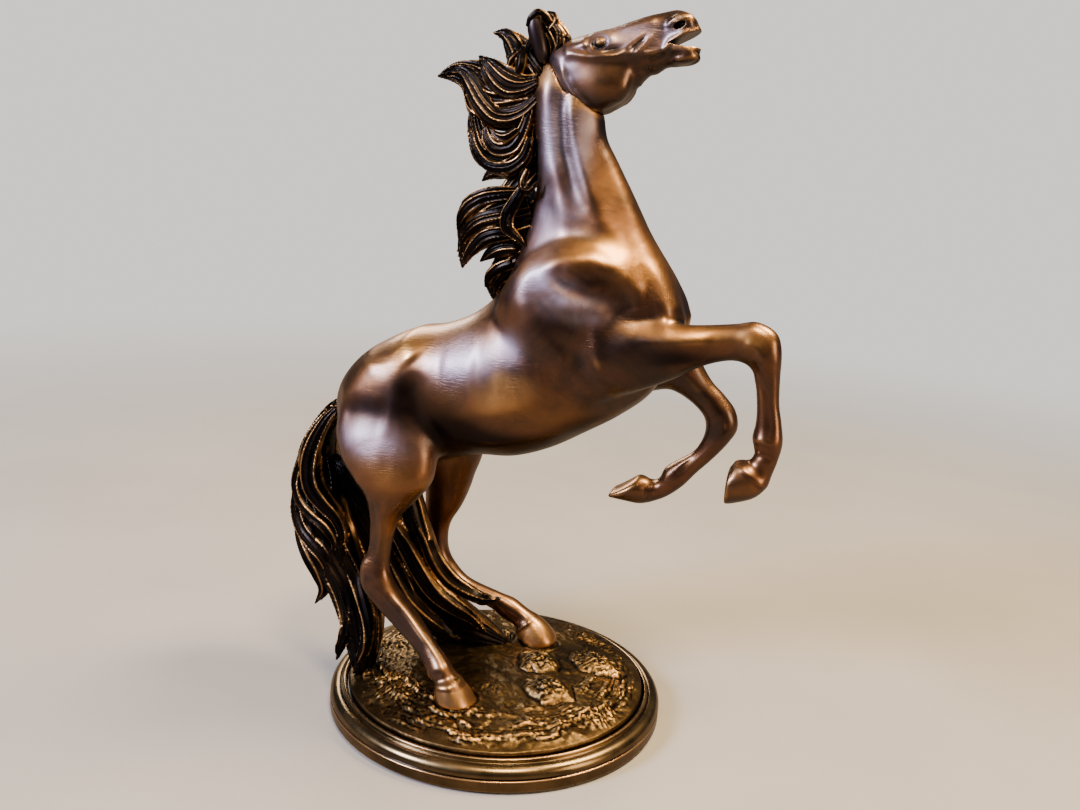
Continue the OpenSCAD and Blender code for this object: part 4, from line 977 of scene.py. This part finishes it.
TAIL_LOCKS = [
    (3.6, 1.6, [(-82, 141, 4, 0, 4.5), (-89, 134.5, 5.6, 0, 6), (-95, 125, 7, 0, 8),
        (-98.6, 114, 9.4, -1, 9.4), (-97, 101, 12.6, -2, 11), (-94, 87, 14.4, -4, 12),
        (-89, 75, 15, -6, 12.4), (-82.6, 64, 14, -8, 12.4), (-75, 54, 12.6, -11, 11.6),
        (-68.6, 43, 11, -15, 10.6), (-62.6, 32, 10, -20, 9.4), (-58.6, 22, 7, -26, 7),
        (-57.6, 15, 3.4, -29, 4)]),
    (1.7, 1.2, [(-84, 140, 1.6, -4, 2), (-91.5, 131.5, 3.4, -6.4, 3.4), (-97, 120, 5, -8.6, 4),
        (-98, 109, 6, -10.4, 4.6), (-94.6, 98.6, 6.4, -12.4, 4.6), (-87.6, 91, 5.4, -13.4, 4.4),
        (-80.6, 84.6, 4, -14, 4), (-77.4, 76, 2.8, -14.6, 3), (-79.6, 66.6, 0.5, -15, 1)]),
    (1.2, 1.2, [(-98, 124, 2, -5, 3), (-103.4, 111, 3.4, -7, 4), (-105, 100, 4, -9, 4.4),
        (-101, 91.4, 4.4, -11.4, 4.6), (-93.6, 85, 4.4, -13.4, 4.6), (-86, 80, 4, -15, 4.2),
        (-80.6, 74, 3, -16, 3.4), (-80.4, 66, 0.5, -16.6, 1)]),
    (1.4, 1.2, [(-106, 99, 1.6, -6, 3), (-104.6, 88, 4, -9, 4), (-100, 78.6, 5, -12, 4.6),
        (-92, 71.6, 5, -15, 4.8), (-85, 66, 4.4, -16.6, 4.4), (-82.4, 58.6, 2.6, -17, 3),
        (-84.4, 53, 0.5, -17, 1)]),
    (1.3, 1.2, [(-105.4, 86, 1.6, -6, 3), (-102.6, 73, 4, -9, 4), (-96.6, 63, 5, -12, 4.6),
        (-90.4, 54.6, 4.6, -13.6, 4.2), (-87.4, 46.6, 3.2, -14, 3), (-92.4, 38, 0.4, -14, 0.8)]),
    (1.4, 1.2, [(-86, 66, 3, -14, 4), (-80.4, 58, 5, -16, 4.6), (-73.6, 50, 5.4, -18.6, 4.6),
        (-69, 41.6, 4.6, -22, 4.4), (-68, 33.6, 3.6, -25.6, 3.6), (-70.4, 26, 2.2, -28, 2.4),
        (-72, 19, 0.5, -29, 1)]),
    (1.2, 1.2, [(-77, 66, 3, -14, 4), (-71.4, 58, 4.6, -15.6, 4.4), (-63.6, 48.6, 4.6, -20, 4.4),
        (-58, 39.6, 4, -24.6, 4), (-56.4, 31, 3.4, -28.6, 3.4), (-58.6, 23.6, 2.2, -30.6, 2.4),
        (-61.6, 15.4, 0.6, -31.4, 1)]),
    (0.8, 0.9, [(-80, 78, 2, -15, 3), (-77, 70, 2.4, -16.6, 3), (-76.6, 63.6, 1.8, -17, 2.4),
        (-80, 59.6, 0.5, -17, 1)]),
    (2.2, 1.4, [(-84, 140, 2, 4, 2.4), (-92, 131, 4, 6, 4), (-97.6, 118, 6, 8, 5), (-99, 104, 8, 9, 6),
        (-96, 90, 9, 9, 6), (-91, 78, 8, 8, 5.4), (-85.6, 67, 6, 6.6, 4.6), (-84.6, 57, 3, 5, 3),
        (-88, 48.6, 0.6, 4, 1)]),
    (1.8, 1.2, [(-88, 74, 5, 6, 4.6), (-79, 62, 7, 3, 5), (-71, 51, 7, 0, 5), (-64.6, 41, 6, -6, 5),
        (-60, 31, 5, -13, 4.4), (-58, 21, 3, -20, 3), (-60.6, 15.4, 0.6, -24, 1)]),
]
INNER_LOCKS = [
    (3, 1.5, [(-91, 113, 1, -1, 1.6), (-85, 105.6, 5, -1, 5), (-75, 92, 10, 1, 7.6),
        (-63, 73.6, 13, 3, 8.4), (-51.6, 57.6, 13.6, 4, 9.4), (-39.6, 43.6, 14, 5, 9.6),
        (-26, 33.4, 13, 7, 8.6), (-12, 26.6, 9, 10, 6.6), (0, 22.6, 3, 13, 3)]),
    (1.6, 1.2, [(-60, 88, 3, -3, 3.6), (-50, 75, 4.6, -4.4, 4.4), (-42, 63, 5, -5, 4.6),
        (-33, 53, 5, -5, 4.6), (-23, 46.6, 4.4, -4, 4), (-13.6, 41, 3, -2, 3), (-6.6, 33.4, 0.6, 0, 1)]),
    (1.4, 1.2, [(-52, 92, 3, 2, 4), (-43, 79, 4.4, 1, 4.4), (-35.6, 67, 5, 0, 4.6),
        (-26.6, 57.6, 5, 0, 4.6), (-16.6, 52, 4, 1, 4), (-7.6, 49.6, 2.6, 2, 3), (-1, 51.6, 0.5, 3, 1)]),
    (1, 1.1, [(-36, 82, 2.4, 8, 3.6), (-28, 71.6, 3.4, 9, 4), (-19.6, 64, 3.6, 10, 4),
        (-13, 57.6, 2.8, 11, 3.4), (-10, 51, 0.6, 12, 1)]),
    (1.3, 1.2, [(-58, 70, 3, -5, 3.4), (-50.6, 58, 4.6, -6, 4), (-44, 47.6, 4.6, -7, 4),
        (-36, 40.6, 4, -7, 3.6), (-27, 35.6, 2.6, -6, 2.8), (-19, 29, 0.6, -4, 1)]),
    (2, 1.2, [(-56, 110, 4.6, 2, 5), (-51.6, 98, 6.8, 2, 6), (-46.6, 84, 7, 2, 6), (-40.6, 70, 6.2, 3, 5.4),
        (-34, 56, 1, 4, 2)]),
    (1.8, 1.2, [(-64, 74, 4, 8, 4), (-53, 59, 6, 11, 5), (-42, 46.6, 6.6, 13, 5), (-30, 38, 6, 14, 5),
        (-18, 31, 4, 15, 4), (-7, 25, 0.8, 16, 1.4)]),
]
TAIL_SHINE = 0.66  # rub and painted rim highlight of the tail's main lock


def path_lock(points):
    """Chords across a lock's path."""
    p = np.array(points, float)
    middle = p[:, :2]
    way = np.gradient(middle, axis=0)
    way[1:-1] = middle[2:] - middle[:-2]
    way /= np.linalg.norm(way, axis=1)[:, None]
    left = np.stack([-way[:, 1], way[:, 0]], 1) * p[:, 2:3]
    return np.hstack([middle + left, middle - left, p[:, 3:5]]).tolist()


def keep_largest(mesh):
    """Deletes loose crumbs, so that the piece is one solid."""
    bm = bmesh.new()
    bm.from_mesh(mesh)
    left, groups = set(bm.verts), []
    while left:
        group = [left.pop()]
        for vert in group:
            near = {v for e in vert.link_edges for v in e.verts} & left
            left -= near
            group += near
        groups.append(group)
    groups.sort(key=len)
    bmesh.ops.delete(bm, geom=[v for group in groups[:-1] for v in group], context="VERTS")
    bm.to_mesh(mesh)
    bm.free()


def make_hair(name, node, locks, lo, hi, step, shapes, behind=(), on_ground=False, gap=0.05):
    """Hair of locks, cut to fit other shapes and the locks behind it."""
    grid = Grid(lo, hi, step, strands=True)
    for i, (flutes, depth, points) in enumerate(locks):
        shine = TAIL_SHINE if on_ground and i == 0 else 1.0
        grid.add(Loft(path_lock(points), 2.0, flutes, depth, 1.7 * i + 0.6, shine), 0.3)
    for shape in [*shapes, *(Loft(path_lock(points)) for _, _, points in behind)]:
        grid.remove(shape, gap)
    if on_ground:
        _, (x, y, z) = grid.window()
        grid.d = np.maximum(grid.d, (ground_height(x, y) + gap - z).astype(np.float32))
    verts, faces = skin(grid)
    rub_and_highlight = sample(grid.crest, (verts - grid.lo) / grid.step)
    layers = {"rub_and_highlight": rub_and_highlight, "hollow": -bend(grid, verts, 1.0, 1.0)}
    keep_largest(make_piece(name, verts, faces.tolist(), HAIR, node, "hair_bronze", layers))


# ---------------------------------------------------------------- ground and plinth
RIM_Z, DOME_H, GROUND_R, SEAT_Z = 14.2, 9.0, 71.0, 11.2
# Rocks: (x, y, radius, height).
ROCKS = [(21, 1, 10.0, 5.0), (32, -21, 10.0, 5.4), (48, 17, 11.5, 5.6)]
# Combed tufts of grass: (x, y, reach along, reach across, turn in degrees, height).
TUFTS = [(-36, -40, 17, 12, -35, 1.3), (-5, 22, 11, 9, 20, 1.1), (59, -24, 13, 8, 60, 1.3),
         (38, 44, 20, 9, -25, 0.9), (-52, 12, 16, 9, 80, 0.8), (-30, 44, 18, 10, 30, 0.9),
         (8, -30, 9, 6, 10, 0.5)]
# Layers of rock along the front edge: (radius, height, width of the slope).
LAYERS = [(50.0, 1.3, 0.7), (57.5, 1.8, 0.7), (63.5, 1.9, 0.8), (68.0, 1.0, 0.7)]
# Hooves: (x, y, radius) of the rim that each presses into the ground.
HOOVES = [(-4.6, -44, 9.6), (14, 24, 9.4)]


def value_noise(x, y, size, seed):
    """Smooth noise from -1 to 1 with lumps of a given size."""
    table = np.random.RandomState(seed).uniform(-1, 1, (64, 64))
    u, v = x / size + 17.3, y / size + 9.1
    i, j = np.floor(u).astype(int), np.floor(v).astype(int)
    f, g = ease(u - i), ease(v - j)
    a, b, c, d = (table[(i + p) % 64, (j + q) % 64] for p, q in ((0, 0), (1, 0), (0, 1), (1, 1)))
    return (a * (1 - f) + b * f) * (1 - g) + (c * (1 - f) + d * f) * g


def ground_height(x, y):
    x, y = np.broadcast_arrays(x, y)
    r, a = np.hypot(x, y), np.arctan2(y, x)

    def lumps(size, seed):
        return value_noise(x, y, size, seed)

    h = RIM_Z + DOME_H * (1 - np.minimum(r / GROUND_R, 1) ** 2.5)
    inner = np.clip((GROUND_R - r) / 4, 0, 1)
    h = h + inner * (0.60 * lumps(11, 1) + 0.40 * lumps(4.5, 2))
    outer = ease(0.5 + 0.9 * lumps(13, 70)) * ease((r - 30) / 30)
    h = h + inner * (0.5 + 0.5 * outer) * (0.34 * lumps(2.3, 3) + 0.20 * lumps(1.25, 4))
    # torn layers that follow the rim, strongest in front and weak behind
    front = 0.35 + 0.65 * ease((math.pi * 0.62 - np.abs(a + math.pi / 2)) / 0.5)
    wrinkle = 1 - np.abs(value_noise(1.5 * r, 11 * a, 2.3, 75) + 0.35 * lumps(1.6, 76))
    for k, (radius, height, slope) in enumerate(LAYERS):
        rim = radius + 2.8 * lumps(17, 5 + k) + 1.2 * lumps(6, 9 + k) + 0.5 * lumps(1.9, 25 + k)
        broken = ease(0.9 + 1.3 * lumps(18, 15 + k))
        shelf = ease((rim - r) / slope + 0.5) * np.exp(-np.clip(rim - r, 0, 99) / 4.6)
        h = h + inner * front * broken * height * shelf * (0.25 + 1.0 * wrinkle**2)
    for k, (tx, ty, long, wide, turn, height) in enumerate(TUFTS):
        c, s = math.cos(math.radians(turn)), math.sin(math.radians(turn))
        u, v = (x - tx) * c + (y - ty) * s, (y - ty) * c - (x - tx) * s
        inside = ease(1.6 * (1 - np.hypot(u / long, v / wide) + 0.3 * lumps(4, 80 + k)))
        blades = 1 - np.abs(value_noise(1.9 * u, 0.45 * v, 2.2, 30 + k) + 0.5 * lumps(1.5, 40 + k))
        h = h + inner * inside * height * (0.1 + 1.2 * blades**2)
    for k, (rx, ry, reach, height) in enumerate(ROCKS):
        q = np.hypot((x - rx) / 1.2, y - ry) + 1.8 * lumps(6, 50 + k) + 0.7 * lumps(2.4, 54 + k)
        slope = np.clip(1 - q / reach, 0, 1)
        dome = 0.5 * np.sqrt(np.clip(1 - (q / reach) ** 2, 0, 1)) + 0.5 * np.minimum(1.5 * slope, 1)
        facets = 1 - np.abs(value_noise(0.8 * (x + y), 1.6 * (x - y), 3.6, 60 + k))
        fine = 1 - np.abs(value_noise(x - y, 0.6 * (x + y), 1.5, 64 + k))
        h = h + dome * (height * 0.8 + 1.5 * facets + 0.8 * fine - 1.2)
        h = h - 0.3 * np.exp(-((q - reach - 0.4) / 1.5) ** 2)
    for hx, hy, size in HOOVES:
        q = np.hypot(x - hx, y - hy) - size
        h = h + 0.35 * np.exp(-((q - 1.8) / 1.0) ** 2) - 0.4 * np.exp(-((q - 0.2) / 0.8) ** 2)
    return h


def lathe(profile, around):
    """Vertices and faces of a profile of (radius, height), turned about the axis where it starts and ends."""
    p, n = np.array(profile, float), len(profile) - 2
    turn = np.linspace(0, 2 * np.pi, around, endpoint=False)
    circle = np.stack([np.cos(turn), np.sin(turn), np.ones(around)], -1)
    rows = (p[1:-1][:, None, [0, 0, 1]] * circle).reshape(-1, 3)
    j = np.arange(around)
    k = (j + 1) % around
    row = around * np.arange(n - 1)[:, None]
    quads = np.stack([row + j, row + around + j, row + around + k, row + k], -1).reshape(-1, 4)
    bottom, top = n * around + 0 * j, n * around + 1 + 0 * j
    last = (n - 1) * around
    caps = np.concatenate([np.stack([bottom, j, k], -1), np.stack([top, last + k, last + j], -1)])
    return np.concatenate([rows, [[0, 0, p[0, 1]], [0, 0, p[-1, 1]]]]), quads.tolist() + caps.tolist()


def make_ground():
    rings, around = (118, 720) if COARSE == 1 else (70, 360)
    profile = [(0, 0)] + [(GROUND_R * i / rings, 0) for i in range(1, rings + 1)] + [(GROUND_R, 0), (0, 0)]
    verts, faces = lathe(profile, around)
    top = rings * around
    x, y = verts[:top, 0], verts[:top, 1]
    verts[:top, 2], verts[top:, 2], verts[-2, 2] = ground_height(x, y), SEAT_Z, ground_height(0.0, 0.0)
    beside = sum(ground_height(x + math.cos(t), y + math.sin(t)) for t in np.arange(8) * math.pi / 4) / 8
    ridge = np.zeros(len(verts))
    ridge[:top] = verts[:top, 2] - beside
    # painted shade on the left side of each rock: darker there, and without rub
    shaded = sum(np.exp(-((verts[:, 0] - x + 4) ** 2 + (verts[:, 1] - y) ** 2) / (0.7 * reach) ** 2)
                 for x, y, reach, _ in ROCKS)
    layers = {"rub_and_highlight": ridge * 2.2 - 0.9 * shaded, "hollow": 0.45 * shaded - ridge * 2.2}
    make_piece("ground_earth", verts, faces, GROUND, "ground_casting", "ground_bronze", layers)


def arc(x, z, radius, start, end, count):
    """Points of an arc in the profile plane, angles in degrees."""
    turns = np.radians(np.linspace(start, end, count))
    return [(x + radius * math.cos(t), z + radius * math.sin(t)) for t in turns]


def make_plinth():
    # cavity, foot, band, lip, rounded edge, shelf, bead and seat of the ground
    profile = [(0, 7.2), (40, 7.2), (65.6, 7.2), (66, 6.8), (66, 1.0), (79.2, 1.0)]
    profile += arc(79.4, 1.6, 0.6, -90, 0, 5) + [(80, 2.6), (80, 4.4), (80, 5.6)]
    profile += arc(79.6, 5.8, 0.4, 0, 90, 4) + [(79.1, 6.4), (79.0, 6.9)] + arc(75.7, 7.3, 4.2, 0, 90, 22)
    profile += [(74.9, 11.4), (74.5, 10.9), (74.1, 11.3)] + arc(73.2, 12.1, 0.9, 0, 180, 12)
    profile += [(72.2, 11.0), (71.6, 10.6), (71.2, 11.1), (50, 11.2), (0, 11.2)]
    verts, faces = lathe(profile, 288 if COARSE == 1 else 144)
    z, r = verts[:, 2], np.hypot(verts[:, 0], verts[:, 1])
    # The lip, foot and bead get rub and a painted highlight line; the grooves and the seat of the ground are
    # darker, and the band under the lip is painted shade.
    lip, foot, bead = (np.abs(z - 6.0) < 0.35) * (r > 79.3), (np.abs(z - 1.5) < 0.5) * (r > 79.6), z > 12.7
    grooves, under_lip = ((r > 74.2) & (r < 74.8)) | (r < 72.3), (z > 6.3) & (z < 7.0) & (r < 79.2) & (r > 75)
    layers = {"rub_and_highlight": 0.9 * lip + 0.35 * foot + 0.5 * bead, "hollow": 1.0 * grooves + 0.9 * under_lip}
    make_piece("plinth_ring", verts, faces, PLINTH, "plinth", "plinth_bronze", layers)


def make_felt():
    profile = [(0, 0), (40, 0), (70, 0)] + arc(78.1, 0.4, 0.4, -90, 90, 7) + [(70, 1.0), (40, 1.0), (0, 1.0)]
    make_piece("felt_disc", *lathe(profile, 240), FELT, "felt_pad", "felt", {})


place_camera()
place_floor()
place_lights()
place_world()
make_torso()
make_neck()
make_head()
for limb in LIMBS:
    make_limb(*limb)
make_ear("right_ear", -1)
make_ear("left_ear", 1)

bodies = [Loft(TRUNK, POWER), Loft(HEAD, POWER)]
ears = [Loft(EAR), Loft(mirrored(EAR))]
legs = [Loft(RIGHT_HIND_LEG, POWER), Loft(LEFT_HIND_LEG, POWER)]
# Hair: (name, node, locks, corners of the grid, step, shapes it fits, locks behind it, on the ground).
HAIR_PIECES = [
    ("crest_hair", "mane_crest_lock", CREST_LOCKS, [-46, -12, 268], [10, 12, 316], 0.42, bodies),
    ("upper_hair", "mane_upper_lock", UPPER_LOCKS, [-32, -12, 244], [10, 12, 290], 0.42, bodies, CREST_LOCKS),
    ("middle_hair", "mane_middle_lock", MIDDLE_LOCKS, [-34, -18, 206], [12, 12, 260], 0.45, bodies,
     UPPER_LOCKS),
    ("lower_hair", "mane_lower_lock", LOWER_LOCKS, [-18, -12, 193], [8, 10, 230], 0.42, bodies, MIDDLE_LOCKS),
    ("forelock_hair", "forelock", FORELOCK_LOCKS, [-6, -13, 298], [22, 8, 322], 0.32, bodies + ears),
    ("tail_hair", "tail_casting", TAIL_LOCKS, [-114, -40, 10], [-44, 22, 146], 0.56, bodies + legs, (), True),
    ("inner_tail_hair", "tail_inner_lock", INNER_LOCKS, [-96, -20, 14], [8, 24, 116], 0.6, bodies + legs,
     TAIL_LOCKS, True),
]
for piece in HAIR_PIECES:
    make_hair(*piece)
make_ground()
make_plinth()
make_felt()

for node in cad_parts.values():
    if not node.hide_render:
        node.data.materials.clear()
        node.data.materials.append(BRASS)
